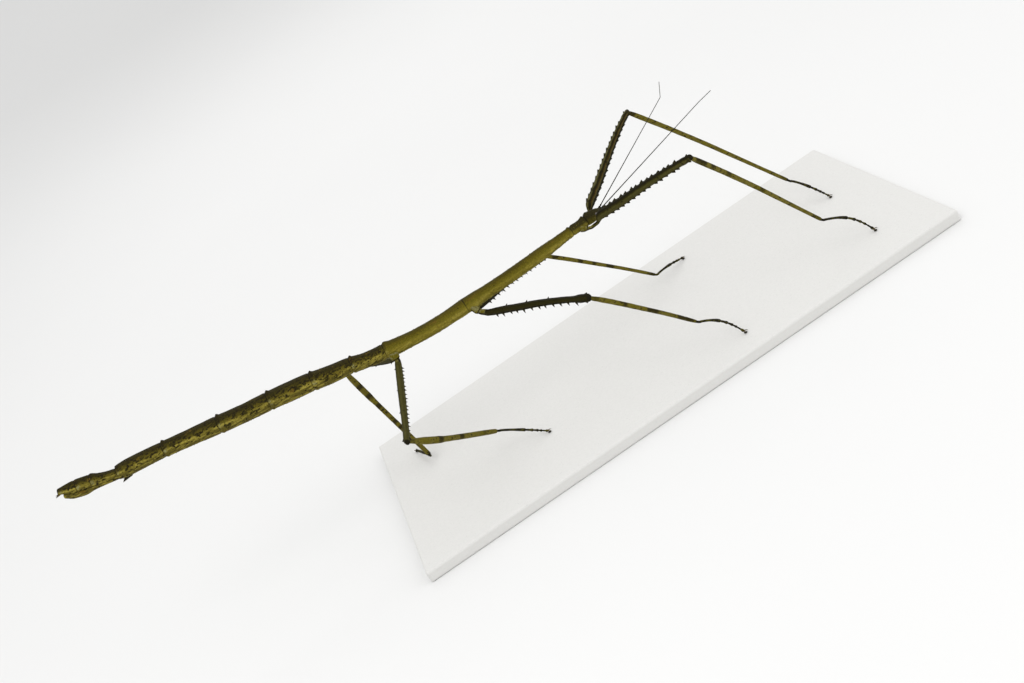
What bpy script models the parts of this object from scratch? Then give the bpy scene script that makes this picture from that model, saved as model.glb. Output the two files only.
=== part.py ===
"""Long stick insect (Phryganistria chinensis), a still life-size model standing on a flat base.

Sizes and places are millimetres and degrees, and the meshes are metres. X points to the head,
Y to the insect's left and Z up. The origin is the middle of the whole model at the base's underside.
"""
import math
import random
from collections import namedtuple

import bmesh
import bpy
from mathutils import Matrix, Vector

MM = 0.001
GAP = 0.3
UP = Vector((0, 0, 1))
SIDES = {"left": 1, "right": -1}

BASE_FRONT = 215.5
BASE_LENGTH = 300
BASE_WIDTH = 160
BASE_THICKNESS = 6
BASE_EDGE = 1
SOLE_LEVEL = BASE_THICKNESS + GAP

BODY_SIDES = 16
NOSE = Vector((83.6, 0, 76.0))
WIDTH_TO_HEIGHT = 1.04

# A body piece runs from its front joint to its rear joint, which lies "climb" degrees higher,
# and hangs below the straight line between them by its sag.
Piece = namedtuple("Piece", "name length climb sag rings colour")
# A ring lies "at" from the front joint; crest raises its back, knob its two flanks.
Ring = namedtuple("Ring", "at half_width up down crest knob", defaults=(0, 0))

# A leg: thicknesses of femur and tibia at distances from their roots, how far the tibia bows up
# at distances from its root, and the length of the tarsus.
Leg = namedtuple("Leg", "hip_at hip_down coxa_lean coxa_root coxa_tip femur tibia tibia_bow tarsus")
HIP_OUT = 4.0
COXA_ROOT_DOWN = 1.2
LEG_SIDES = 10
FEMUR_DEPTH_TO_WIDTH = 1.18

# How one leg is held: headings turn from X towards Y, lifts rise from level, roll turns its thorns.
Hold = namedtuple("Hold", "femur_heading femur_lift femur_bow roll tibia_heading ankle_height "
                          "tarsus_heading tarsus_arch")
# A row of thorns: angle round the femur from its back towards its front, and the stretch it covers.
Row = namedtuple("Row", "angle count start end height root")

# How far a leg piece bows up at distances from its root.
STRAIGHT = ((0, 0), (1, 0))
RIGHT_FORE_BOW = ((0, 0), (5.5, 0.1), (11.5, 2.5), (30, 1.9), (46, 1.7), (60, 1.1), (78, 0))
LEFT_FORE_BOW = ((0, 0), (5.5, 0.1), (11.5, 2.3), (30, 2.0), (46, 2.0), (60, 1.6), (70, 0.9), (78, 0))
MID_BOW = ((0, 0), (5, -0.7), (15, -0.2), (27, 0.2), (40, 0.75), (51, 0.65), (63, 0.1), (69, 0))
HIGH_BOW = ((0, 0), (30, 1.3), (69, 0))
LOW_BOW = ((0, 0), (8, -1.4), (30, -1.0), (62.7, 0))

LEGS = {
    "fore": Leg(74.2, 2.9, 4.0, 3.2, 2.1,
                ((0, 1.8), (6.5, 1.8), (11.5, 4.2), (22, 4.3), (40, 3.8), (60, 3.3), (71, 2.9), (74, 3.3),
                 (78, 2.6)),
                ((0, 1.9), (5, 2.6), (30, 2.4), (60, 2.1), (80, 1.8), (91, 1.8), (95.4, 1.6)),
                ((0, 0), (27, 0.7), (45, 0.8), (58, 0.6), (76, 0.3), (95.4, 0)), 26.5),
    "mid": Leg(5.7, 6.0, 2.6, 3.6, 3.3,
               ((0, 3.0), (5, 3.5), (27, 3.4), (45, 3.1), (60, 2.9), (65, 4.1), (69, 3.5)),
               ((0, 1.8), (5, 2.3), (30, 2.0), (45, 1.8), (58, 1.7), (62.3, 1.4)),
               ((0, 0), (16, 0.5), (40, 0.55), (62.3, 0)), 23.5),
    "hind": Leg(-42.0, 6.1, 0.0, 5.0, 3.9,
                ((0, 3.4), (4, 3.9), (30, 3.8), (50, 3.3), (57, 3.4), (59.5, 3.8), (62.7, 3.0)),
                ((0, 1.9), (4, 2.2), (9, 3.1), (14, 3.4), (23, 3.3), (28, 2.7), (50, 2.5), (67, 2.3),
                 (69.8, 1.7)),
                ((0, 0), (25, -0.8), (69.8, 0)), 25.6),
}
HOLDS = {
    "fore_right": Hold(-49.2, 16.2, RIGHT_FORE_BOW, 0, 32.0, 11.4, -52.3, 3.4),
    "fore_left": Hold(42.3, 15.6, LEFT_FORE_BOW, -50, -20.9, 11.1, -69.0, 1.5),
    "mid_right": Hold(-49.7, -3.75, MID_BOW, 0, 14.9, 11.0, -47.9, 3.0),
    "mid_left": Hold(47.4, -12.5, HIGH_BOW, -45, -15.4, 6.5, 35.0, 1.5),
    "hind_right": Hold(-103.8, -12.45, STRAIGHT, 0, 50.6, 11.6, -26.6, 1.2),
    "hind_left": Hold(119.9, -6.65, LOW_BOW, -70, -69.8, 4.0, 105.0, 1.5),
}
THORNS = {
    "fore": (Row(15, 15, 13, 69, 1.1, 2.0), Row(195, 14, 15, 69, 1.0, 1.8)),
    "mid": (Row(214, 12, 10, 61, 1.5, 1.1), Row(34, 3, 17, 45, 0.9, 1.0)),
    "hind": (Row(110, 17, 6, 55, 1.1, 0.9), Row(205, 10, 9, 52, 1.0, 0.8), Row(290, 3, 6, 40, 0.9, 0.9)),
}
# Thorns low on the mesothorax: distance from its front joint and height.
MESOTHORAX_THORNS = ((14, 0.5), (22, 0.5), (31, 0.6), (39, 0.6), (45, 1.2), (49.5, 1.3), (53, 1.4),
                     (56.5, 1.2))
MESOTHORAX_THORN_TURN = 27
MESOTHORAX_THORN_ROOT = 1.1
THORN_SINK = 0.6
THORN_LEAN = 0.35
THORN_TIP = 0.12
THORN_SIDES = 5
THORN_STRAY = 0.6
THORN_HEIGHTS = (0.75, 1.15)
THORN_REACH = 0.95

HIP_TURN = 1.4
KNEE_TURN = 2.1
ANKLE_TURN = 1.4
ELBOW_STEPS = 4
COXA_COLLAR = 1.08
COXA_END = 0.86
COXA_COLLAR_BACK = 0.4

TARSOMERE_ENDS = (0.0, 0.57, 0.72, 0.82, 0.89, 1.0)
TARSUS_ROOT = 0.6
TARSUS_FLARE = 0.82
TARSOMERE_SLIMMING = 0.08
LAST_TARSOMERE = 0.9
CLAW_LENGTH = 1.9
CLAW_SINK = 0.5
CLAW_ROOT = 0.62
CLAW_SPREAD = 32
CLAW_LIFT = -12
PAD_RADIUS = 0.95
PAD_THICKNESS = 0.8
PAD_TAPER = 0.8

EYE_RADIUS = 1.0
EYE_AT = (6.0, 2.65, 1.0)
PALP_AT = (8.0, 0.9, -2.3)
PALP_LENGTH = 2.0
PALP_ROOT = 0.4
PALP_SPREAD = 12
PALP_LIFT = -50
ANTENNA_AT = (8.4, 1.0, 1.3)
ANTENNA_LENGTH = 87
ANTENNA_SINK = 0.9
SCAPE_LENGTH = 2.2
SCAPE_RADIUS = 0.6
SCAPE_END = 0.9
SCAPE_NECK = 0.3
PEDICEL_LENGTH = 1.4
PEDICEL_RADIUS = 0.42
PEDICEL_NECK = 0.4
FEELER_RADIUS = 0.28
FEELER_TIP_RADIUS = 0.15
FEELER_POINTS = 14
FEELER_KINK_AT = 0.87
FEELER_HOLD = {"right": (-33.0, 22.8, -3), "left": (33.9, 12.2, 41)}

CREST_POWER = 8
RING_LIP = 0.2
RING_LENGTH = 2.4
RING_CREST = 0.6
RING_KNOB = 0.15
NECK_TUCK = 0.3

TERGITE_FLOOR = 1.9
FLAT_BELOW = 0.45
OPERCULUM_HEEL = 0.6
STERNUM_SPINE_AT = 19.9
STERNUM_SPINE_LENGTH = 5.4
STERNUM_SPINE_ROOT = 1.7
STERNUM_SPINE_LEAN = 38
STERNUM_SPINE_SINK = 1
CERCUS_AT = 6.9
CERCUS_OUT = 1.0
CERCUS_LENGTH = 4.2
CERCUS_ROOT = 0.6
CERCUS_DROOP = 0.45

DARK_BROWN = (0.060, 0.045, 0.020, 1)
OLIVE = (0.145, 0.115, 0.035, 1)
PALE_OLIVE = (0.230, 0.190, 0.060, 1)
BLACK_OLIVE = (0.050, 0.042, 0.016, 1)
BLACK = (0.012, 0.010, 0.008, 1)
BASE_GREY = (0.62, 0.61, 0.58, 1)


def direction(heading, lift):
    """Unit vector at a heading from X towards Y and a lift above level, in degrees."""
    turn, rise = math.radians(heading), math.radians(lift)
    return Vector((math.cos(rise) * math.cos(turn), math.cos(rise) * math.sin(turn), math.sin(rise)))


def climb_axes(climb):
    """Rearward direction of a body piece that climbs to the rear, and the direction of its back."""
    rise = math.radians(climb)
    return Vector((-math.cos(rise), 0, math.sin(rise))), Vector((math.sin(rise), 0, math.cos(rise)))


def interpolate(pairs, at):
    """Value at a distance, smoothly between the (distance, value) pairs."""
    for (start, low), (end, high) in zip(pairs, pairs[1:]):
        if at <= end:
            share = max(0.0, (at - start) / (end - start))
            return low + (high - low) * share * share * (3 - 2 * share)
    return pairs[-1][1]


def clear_scene():
    for old in list(bpy.data.objects):
        bpy.data.objects.remove(old, do_unlink=True)


def new_collection(name):
    collection = bpy.data.collections.new(name)
    bpy.context.scene.collection.children.link(collection)
    return collection


def paint(part, colour, roughness=0.6):
    """Give a part its own material."""
    material = bpy.data.materials.new(part.name + "_material")
    material.use_nodes = True
    surface = material.node_tree.nodes["Principled BSDF"]
    surface.inputs["Base Color"].default_value = colour
    surface.inputs["Roughness"].default_value = roughness
    surface.inputs["Metallic"].default_value = 0
    material.diffuse_color = colour
    part.data.materials.clear()
    part.data.materials.append(material)


def mesh_object(name, bm, collection):
    """Finish a bmesh as a closed, outward-facing, triangulated object."""
    bmesh.ops.triangulate(bm, faces=bm.faces)
    bmesh.ops.recalc_face_normals(bm, faces=bm.faces)
    mesh = bpy.data.meshes.new(name)
    bm.to_mesh(mesh)
    bm.free()
    mesh.shade_smooth()
    mesh.set_sharp_from_angle(angle=math.radians(40))
    part = bpy.data.objects.new(name, mesh)
    collection.objects.link(part)
    return part


def loft(name, rings, collection):
    """Closed object through rings of points in millimetres, flat at both ends."""
    bm = bmesh.new()
    loops = [[bm.verts.new(point * MM) for point in ring] for ring in rings]
    for first, second in zip(loops, loops[1:]):
        for here in range(len(first)):
            there = (here + 1) % len(first)
            bm.faces.new((first[here], first[there], second[there], second[here]))
    bm.faces.new(loops[0][::-1])
    bm.faces.new(loops[-1])
    return mesh_object(name, bm, collection)


def keep_largest(mesh):
    """Remove all but the largest connected surface of a mesh."""
    bm = bmesh.new()
    bm.from_mesh(mesh)
    unseen = set(bm.verts)
    shells = []
    while unseen:
        shell, edge_of_shell = set(), [unseen.pop()]
        while edge_of_shell:
            vert = edge_of_shell.pop()
            shell.add(vert)
            near = [edge.other_vert(vert) for edge in vert.link_edges]
            fresh = [other for other in near if other in unseen]
            unseen.difference_update(fresh)
            edge_of_shell.extend(fresh)
        shells.append(shell)
    shells.sort(key=len)
    bmesh.ops.delete(bm, geom=[vert for shell in shells[:-1] for vert in shell], context="VERTS")
    bmesh.ops.triangulate(bm, faces=bm.faces)
    bm.to_mesh(mesh)
    bm.free()


def fuse(part, pieces):
    """Join closed pieces to a part with one union, and remove the pieces."""
    bag = new_collection(part.name + "_pieces")
    for piece in pieces:
        for home in list(piece.users_collection):
            home.objects.unlink(piece)
        bag.objects.link(piece)
    union = part.modifiers.new("fuse", "BOOLEAN")
    union.operation = "UNION"
    union.operand_type = "COLLECTION"
    union.collection = bag
    evaluated = part.evaluated_get(bpy.context.evaluated_depsgraph_get())
    mesh = bpy.data.meshes.new_from_object(evaluated)
    part.modifiers.clear()
    keep_largest(mesh)
    part.data = mesh
    for piece in list(bag.objects):
        bpy.data.objects.remove(piece, do_unlink=True)
    bpy.data.collections.remove(bag)


def cut(part, cutter, cutters):
    """Cut a socket in a part with a guide that stays in the file, unseen."""
    for home in list(cutter.users_collection):
        home.objects.unlink(cutter)
    cutters.objects.link(cutter)
    cutter.hide_render = True
    cutter.display_type = "WIRE"
    difference = part.modifiers.new("socket", "BOOLEAN")
    difference.operation = "DIFFERENCE"
    difference.object = cutter


def cone(name, root, along, length, root_radius, tip_radius, collection, sides=THORN_SIDES):
    """Closed cone from a root point along a direction."""
    bm = bmesh.new()
    turn = along.to_track_quat("Z", "Y").to_matrix().to_4x4()
    place = Matrix.Translation((root + along * length / 2) * MM) @ turn
    bmesh.ops.create_cone(bm, cap_ends=True, segments=sides, radius1=root_radius * MM,
                          radius2=tip_radius * MM, depth=length * MM, matrix=place)
    return mesh_object(name, bm, collection)


def thorn(root, outward, height, root_diameter, collection):
    """Thorn whose root is sunk into the surface at a point."""
    return cone("thorn", root - outward * THORN_SINK, outward, height + THORN_SINK,
                root_diameter / 2, THORN_TIP, collection)


def body_ring(centre, back, ring, boxy=1.0):
    """Points of a body section, round above and more or less square below."""
    points = []
    for step in range(BODY_SIDES):
        angle = 2 * math.pi * step / BODY_SIDES
        out, rise = math.cos(angle), math.sin(angle)
        if rise < -1e-6:
            out = math.copysign(abs(out) ** boxy, out)
            rise = -abs(rise) ** boxy
        crest = ring.crest * max(0.0, math.sin(angle)) ** CREST_POWER
        knob = math.copysign(ring.knob * abs(math.cos(angle)) ** CREST_POWER, out)
        height = rise * (ring.up if rise > 0 else ring.down) + crest
        points.append(centre + back * height + Vector((0, out * ring.half_width + knob, 0)))
    return points


def round_rings(pairs, crests=()):
    """Rings from (distance, diameter) pairs; crests lists (distance, height) on the back."""
    crest_at = dict(crests)
    return tuple(Ring(at, wide / 2 * WIDTH_TO_HEIGHT, wide / 2, wide / 2, crest_at.get(at, 0))
                 for at, wide in pairs)


def segment_rings(length, front, middle, rear):
    """Rings of an abdominal segment with a tucked neck and a raised, knobbed hind margin."""
    lip = rear / 2 + RING_LIP
    return (round_rings(((0, front - 2 * NECK_TUCK), (0.9, front), (length / 2, middle),
                         (length - RING_LENGTH, rear)))
            + (Ring(length - RING_LENGTH / 2, lip * WIDTH_TO_HEIGHT, lip, lip, RING_CREST, RING_KNOB),)
            + round_rings(((length, rear - 2 * NECK_TUCK),)))


BODY = (
    Piece("head", 9.2, 0.6, 0, (Ring(0, 1.4, 1.4, 1.6), Ring(0.9, 2.2, 2.3, 2.2), Ring(2.6, 2.8, 3.1, 2.5),
                                Ring(5.0, 3.2, 3.7, 2.6), Ring(7.8, 3.1, 4.0, 2.7),
                                Ring(9.2, 2.5, 3.3, 2.5)), DARK_BROWN),
    Piece("prothorax", 8.8, -0.5, 0, round_rings(((0, 5.0), (0.9, 5.6), (2.4, 5.5), (4, 5.3), (7.6, 5.3),
                                                  (8.8, 4.8)), ((0.9, 1.0), (2.4, 0.4), (7.6, 0.3))),
          DARK_BROWN),
    Piece("mesothorax", 64.6, -0.8, 0.7, round_rings(((0, 4.8), (1.0, 5.4), (2.2, 5.3), (6, 5.5), (20, 6.7),
                                                      (35, 6.8), (50, 6.9), (59, 7.7), (64.6, 8.0)),
                                                     ((1.0, 0.5),)), OLIVE),
    Piece("metathorax", 46.1, 5.2, 1.4, round_rings(((0, 8.0), (3, 7.9), (10, 7.5), (28, 7.5), (36, 7.8),
                                                     (41.5, 8.3), (44.7, 8.4), (46.1, 7.7)), ((44.7, 0.7),)),
          OLIVE),
    Piece("abdomen_2", 18.1, 13.2, 0.6, segment_rings(18.1, 7.9, 7.8, 8.3), OLIVE),
    Piece("abdomen_3", 20.8, 12.3, 0.4, segment_rings(20.8, 8.3, 9.1, 9.5), OLIVE),
    Piece("abdomen_4", 23.1, 10.5, 0, segment_rings(23.1, 9.5, 9.8, 9.5), OLIVE),
    Piece("abdomen_5", 26.8, 9.7, 0.3, segment_rings(26.8, 9.4, 9.1, 9.3), OLIVE),
    Piece("abdomen_6", 29.1, 10.7, 0, segment_rings(29.1, 9.0, 8.3, 8.1), OLIVE),
    Piece("abdomen_7", 24.7, 8.1, -0.1, round_rings(((0, 7.3), (0.9, 7.7), (10, 8.2), (18, 8.3), (23, 7.5),
                                                     (24.7, 6.9))), OLIVE),
    Piece("abdomen_8", 13.3, 17.0, 0, (Ring(0, 2.7, 2.3, TERGITE_FLOOR), Ring(4, 2.9, 2.3, TERGITE_FLOOR),
                                       Ring(9, 3.3, 2.9, TERGITE_FLOOR), Ring(12.3, 3.5, 3.9, TERGITE_FLOOR),
                                       Ring(13.3, 3.3, 3.5, TERGITE_FLOOR)), OLIVE),
    Piece("abdomen_9", 7.2, 15.5, 0, (Ring(0, 3.2, 3.4, TERGITE_FLOOR), Ring(0.9, 3.4, 3.6, TERGITE_FLOOR),
                                      Ring(6.2, 3.4, 3.7, TERGITE_FLOOR), Ring(7.2, 3.2, 3.5, TERGITE_FLOOR)),
          OLIVE),
    Piece("abdomen_10", 8.9, 16.5, 0, (Ring(0, 3.1, 3.3, TERGITE_FLOOR), Ring(0.9, 3.2, 3.4, TERGITE_FLOOR),
                                       Ring(4.5, 2.8, 2.9, 1.5), Ring(8.9, 1.7, 2.0, 0.4)), OLIVE),
)
# Operculum sections: share of the way along the last three segments, half width and depth.
OPERCULUM_RINGS = ((0.0, 2.2, 1.3), (0.24, 2.8, 2.2), (0.55, 3.0, 3.7), (0.77, 2.7, 3.4), (0.93, 1.6, 1.8))


def body_joints():
    """Joint places from the front of the head to the tip of the abdomen, with their section axes."""
    places = [NOSE]
    for piece in BODY:
        places.append(places[-1] + climb_axes(piece.climb)[0] * piece.length)
    climbs = [piece.climb for piece in BODY]
    between = [climbs[0]] + [(a + b) / 2 for a, b in zip(climbs, climbs[1:])] + [climbs[-1]]
    return places, between


def body_centre(at_x):
    """Centre of the body at a place along X."""
    places = body_joints()[0]
    for piece, front, rear in zip(BODY, places, places[1:]):
        if rear.x <= at_x <= front.x:
            share = (front.x - at_x) / (front.x - rear.x)
            return front.lerp(rear, share) - UP * piece.sag * math.sin(math.pi * share)
    return places[-1]


def body_section(index, at):
    """Centre of a body piece at a distance from its front joint, and the direction of its back."""
    piece = BODY[index]
    places, climbs = body_joints()
    share = at / piece.length
    rearward, _ = climb_axes(piece.climb)
    _, back = climb_axes(climbs[index] * (1 - share) + climbs[index + 1] * share)
    return places[index] + rearward * at - UP * piece.sag * math.sin(math.pi * share), back


def make_body_piece(index, collection):
    """One body piece, its end sections turned halfway to its neighbours' and half a gap short."""
    piece = BODY[index]
    boxy = FLAT_BELOW if piece.rings[0].down == TERGITE_FLOOR else 1.0
    rings = []
    for ring in piece.rings:
        centre, back = body_section(index, min(max(ring.at, GAP / 2), piece.length - GAP / 2))
        rings.append(body_ring(centre, back, ring, boxy))
    return loft(piece.name, rings, collection)


def arm_body(body, collection):
    """Thorns low on the mesothorax, the spine before the operculum and the two cerci at the tail."""
    names = [piece.name for piece in BODY]
    index = names.index("mesothorax")
    thorns = []
    for side in SIDES.values():
        turn = math.radians(MESOTHORAX_THORN_TURN)
        for at, height in MESOTHORAX_THORNS:
            centre, back = body_section(index, at)
            outward = Vector((0, side * math.sin(turn), 0)) - back * math.cos(turn)
            radius = interpolate([(ring.at, ring.down) for ring in BODY[index].rings], at)
            root = centre + outward * radius
            thorns.append(thorn(root, outward, height, MESOTHORAX_THORN_ROOT, collection))
    fuse(body["mesothorax"], thorns)

    index = names.index("abdomen_7")
    centre, back = body_section(index, STERNUM_SPINE_AT)
    lean = math.radians(STERNUM_SPINE_LEAN)
    along = climb_axes(BODY[index].climb)[0] * math.cos(lean) - back * math.sin(lean)
    depth = interpolate([(ring.at, ring.down) for ring in BODY[index].rings], STERNUM_SPINE_AT)
    root = centre - back * (depth - STERNUM_SPINE_SINK)
    spine = cone("spine", root, along, STERNUM_SPINE_LENGTH, STERNUM_SPINE_ROOT, THORN_TIP, collection)
    fuse(body["abdomen_7"], [spine])

    index = names.index("abdomen_10")
    centre, back = body_section(index, CERCUS_AT)
    along = (climb_axes(BODY[index].climb)[0] - back * CERCUS_DROOP).normalized()
    cerci = [cone("cercus", centre + Vector((0, side * CERCUS_OUT, 0)), along, CERCUS_LENGTH, CERCUS_ROOT,
                  THORN_TIP, collection) for side in SIDES.values()]
    fuse(body["abdomen_10"], cerci)

    palps = []
    for side in SIDES.values():
        root = head_place(PALP_AT[0], side * PALP_AT[1], PALP_AT[2])
        palps.append(cone("palp", root, direction(side * PALP_SPREAD, PALP_LIFT), PALP_LENGTH, PALP_ROOT,
                          THORN_TIP, collection))
    fuse(body["head"], palps)


def make_operculum(collection):
    """Boat-shaped plate under the last three segments, flat above and keeled below."""
    places, climbs = body_joints()
    last = places[-4:]
    ends = climbs[-4:]
    rings = []
    for share, half_width, depth in OPERCULUM_RINGS:
        reach = share * 3
        index = min(int(reach), 2)
        centre = last[index].lerp(last[index + 1], reach - index)
        _, back = climb_axes(ends[index] + (ends[index + 1] - ends[index]) * (reach - index))
        top = centre - back * (TERGITE_FLOOR + GAP)
        steps = BODY_SIDES // 2
        angles = [math.pi * step / steps for step in range(steps + 1)]
        rings.append([top + Vector((0, math.cos(angle) * half_width, 0)) - back * depth * math.sin(angle)
                      for angle in angles])
    rings[0] = [point - Vector((OPERCULUM_HEEL, 0, 0)) for point in rings[0]]
    part = loft("operculum", rings, collection)
    paint(part, OLIVE)


def path_frames(path, across):
    """Tangent and back direction at each path point, carried along from the last point."""
    tangents = []
    for index in range(len(path)):
        before, after = path[max(index - 1, 0)], path[min(index + 1, len(path) - 1)]
        tangents.append((after - before).normalized())
    back = (across - tangents[-1] * across.dot(tangents[-1])).normalized()
    backs = [back]
    for tangent in reversed(tangents[:-1]):
        back = (back - tangent * back.dot(tangent)).normalized()
        backs.insert(0, back)
    return tangents, backs


def limb(name, path, thicknesses, collection, depth_to_width=1.0, sides=LEG_SIDES):
    """Loft of oval sections along a path; thicknesses are one for each point."""
    tangents, backs = path_frames(path, UP)
    rings = []
    for point, tangent, back, thick in zip(path, tangents, backs, thicknesses):
        side = tangent.cross(back)
        ring = []
        for step in range(sides):
            angle = 2 * math.pi * (step + 0.5) / sides
            ring.append(point + back * math.cos(angle) * thick / 2
                        + side * math.sin(angle) * thick / 2 / depth_to_width)
        rings.append(ring)
    return loft(name, rings, collection)


def elbow(corner, arriving, end, turn):
    """Points that turn round a corner into the straight line to end, and the place where they join it."""
    start = corner - arriving * turn
    after = corner + (end - corner).normalized() * turn
    points = []
    for step in range(ELBOW_STEPS):
        share = step / ELBOW_STEPS
        points.append(start.lerp(corner, share).lerp(corner.lerp(after, share), share))
    return points, after


def limb_axis(corner, end, at, bow):
    """Centre of a leg piece at a distance from its root corner, with its bow, and the way up from it."""
    onward = (end - corner).normalized()
    back = (UP - onward * UP.dot(onward)).normalized()
    return corner + onward * at + back * interpolate(bow, at), back


def jointed_limb(name, corner, arriving, end, turns, profile, bow, collection, depth_to_width=1.0):
    """Leg piece with a bent root, from round one joint's corner to a gap short of the next one's turn."""
    start_turn, end_turn = turns
    bend, after = elbow(corner, arriving, end, start_turn)
    onward = (end - corner).normalized()
    last = profile[-1][0] - end_turn - GAP
    stops = sorted({at for at, _ in profile + bow if start_turn + 1 < at < last - 0.5})
    path = bend + [after] + [limb_axis(corner, end, at, bow)[0] for at in stops + [last]]
    thick = [interpolate(profile, max(0, (point - corner).dot(onward))) for point in path]
    return limb(name, path, thick, collection, depth_to_width)


def thorn_row(row, start, end, profile, hold, side, dice, collection):
    """Thorns along a femur, leaning towards its end, at the row's angle round it."""
    along = (end - start).normalized()
    angle = math.radians(row.angle + hold.roll)
    thorns = []
    for step in range(row.count):
        share = step / max(1, row.count - 1)
        at = row.start + (row.end - row.start) * share + dice.uniform(-THORN_STRAY, THORN_STRAY)
        centre, back = limb_axis(start, end, at, hold.femur_bow)
        outward = back * math.cos(angle) + along.cross(back) * side * math.sin(angle)
        depth = interpolate(profile, at) / 2
        width = depth / FEMUR_DEPTH_TO_WIDTH
        reach = depth * width / math.hypot(width * math.cos(angle), depth * math.sin(angle))
        lean = (outward + along * THORN_LEAN).normalized()
        height = row.height * dice.uniform(*THORN_HEIGHTS)
        thorns.append(thorn(centre + outward * reach * THORN_REACH, lean, height, row.root, collection))
    return thorns


def leg_places(leg, hold, side):
    """Coxa root, and the corners at the hip, knee, ankle and foot of one leg."""
    root_out = leg.coxa_root / 2 + 2 * GAP
    hip = body_centre(leg.hip_at) + Vector((0, side * HIP_OUT, -leg.hip_down))
    coxa_root = body_centre(leg.hip_at - leg.coxa_lean) + Vector((0, side * root_out, -COXA_ROOT_DOWN))
    knee = hip + direction(hold.femur_heading, hold.femur_lift) * leg.femur[-1][0]
    tibia_length = leg.tibia[-1][0]
    drop = knee.z - (SOLE_LEVEL + hold.ankle_height)
    ankle = knee + direction(hold.tibia_heading, -math.degrees(math.asin(drop / tibia_length))) * tibia_length
    fall = hold.ankle_height - TARSUS_FLARE
    flat = math.sqrt(leg.tarsus ** 2 - fall ** 2)
    foot = ankle + direction(hold.tarsus_heading, 0) * flat - UP * fall
    return coxa_root, hip, knee, ankle, foot


def make_coxa(name, leg, root, hip, thorax, collection, cutters):
    """Tapered hip piece in a socket of the thorax."""
    along = (hip - root).normalized()
    tip = hip - along * (HIP_TURN + GAP)

    def taper(label, grow):
        last = hip if grow else tip
        path = [root - along * grow, root.lerp(last, 0.5), last - along * COXA_COLLAR_BACK, last]
        thick = [leg.coxa_root, leg.coxa_root, leg.coxa_tip * COXA_COLLAR, leg.coxa_tip * COXA_END]
        return limb(label, path, [value + 2 * grow for value in thick], collection)

    coxa = taper(name, 0)
    paint(coxa, BLACK_OLIVE if "fore" in name else OLIVE)
    cut(thorax, taper(name + "_socket", GAP), cutters)


def make_tarsus(name, ankle, arriving, foot, arch, collection):
    """Five foot joints arched down to the floor, two claws and a flat pad."""
    fall = ankle.z - foot.z

    def place(share):
        flat = ankle.lerp(foot, share)
        flat.z = foot.z + fall * (1 - share ** arch)
        return flat

    bend, after = elbow(ankle, arriving, place(TARSOMERE_ENDS[1]), ANKLE_TURN)
    path = bend + [after]
    thick = [2 * TARSUS_ROOT] * len(path)
    for index, (first, last) in enumerate(zip(TARSOMERE_ENDS, TARSOMERE_ENDS[1:])):
        slim = 1 - TARSOMERE_SLIMMING * index
        path.append(place(first + 0.02) if index > 0 else place(last / 2))
        thick.append(2 * TARSUS_ROOT * slim)
        path.append(place(last - 0.01))
        thick.append(2 * TARSUS_FLARE * (slim if last < 1 else LAST_TARSOMERE))
    part = limb(name, path, thick, collection, sides=8)
    onward = (foot - ankle).to_2d().to_3d().normalized()
    heading = math.degrees(math.atan2(onward.y, onward.x))
    pieces = []
    for spread in (-CLAW_SPREAD, CLAW_SPREAD):
        reach = direction(heading + spread, CLAW_LIFT)
        pieces.append(cone("claw", foot - onward * CLAW_SINK, reach, CLAW_LENGTH + CLAW_SINK, CLAW_ROOT / 2,
                           THORN_TIP, collection))
    pad_root = Vector((foot.x, foot.y, SOLE_LEVEL))
    pieces.append(cone("pad", pad_root, UP, PAD_THICKNESS, PAD_RADIUS, PAD_RADIUS * PAD_TAPER, collection,
                       sides=LEG_SIDES))
    fuse(part, pieces)
    paint(part, BLACK_OLIVE)


def make_leg(name, body_parts, collection, cutters):
    """Coxa, femur with thorns, tibia and tarsus of one leg."""
    pair, side_name = name.split("_")
    leg, hold, side = LEGS[pair], HOLDS[name], SIDES[side_name]
    root, hip, knee, ankle, foot = leg_places(leg, hold, side)
    thorax = body_parts[{"fore": "prothorax", "mid": "mesothorax", "hind": "metathorax"}[pair]]
    make_coxa("coxa_" + name, leg, root, hip, thorax, collection, cutters)
    femur = jointed_limb("femur_" + name, hip, (hip - root).normalized(), knee, (HIP_TURN, KNEE_TURN),
                         leg.femur, hold.femur_bow, collection, FEMUR_DEPTH_TO_WIDTH)
    paint(femur, OLIVE if pair == "hind" else BLACK_OLIVE)
    tibia = jointed_limb("tibia_" + name, knee, (knee - hip).normalized(), ankle, (KNEE_TURN, ANKLE_TURN),
                         leg.tibia, leg.tibia_bow, collection)
    paint(tibia, PALE_OLIVE)
    dice = random.Random(name)
    thorns = []
    for row in THORNS[pair]:
        thorns += thorn_row(row, hip, knee, leg.femur, hold, side, dice, collection)
    fuse(femur, thorns)
    make_tarsus("tarsus_" + name, ankle, (ankle - knee).normalized(), foot, hold.tarsus_arch, collection)


def head_place(at, out, rise):
    """Point in the head, measured from the front joint of the prothorax forward."""
    rearward, back = climb_axes(BODY[0].climb)
    joint = NOSE + rearward * BODY[0].length
    return joint - rearward * at + back * rise + Vector((0, out, 0))


def ball(name, centre, radius, collection):
    bm = bmesh.new()
    bmesh.ops.create_uvsphere(bm, u_segments=14, v_segments=9, radius=radius * MM,
                              matrix=Matrix.Translation(centre * MM))
    return mesh_object(name, bm, collection)


def make_eye(name, side, head, collection, cutters):
    centre = head_place(EYE_AT[0], side * EYE_AT[1], EYE_AT[2])
    eye = ball(name, centre, EYE_RADIUS, collection)
    paint(eye, BLACK, 0.2)
    cut(head, ball(name + "_socket", centre, EYE_RADIUS + GAP, collection), cutters)


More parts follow.
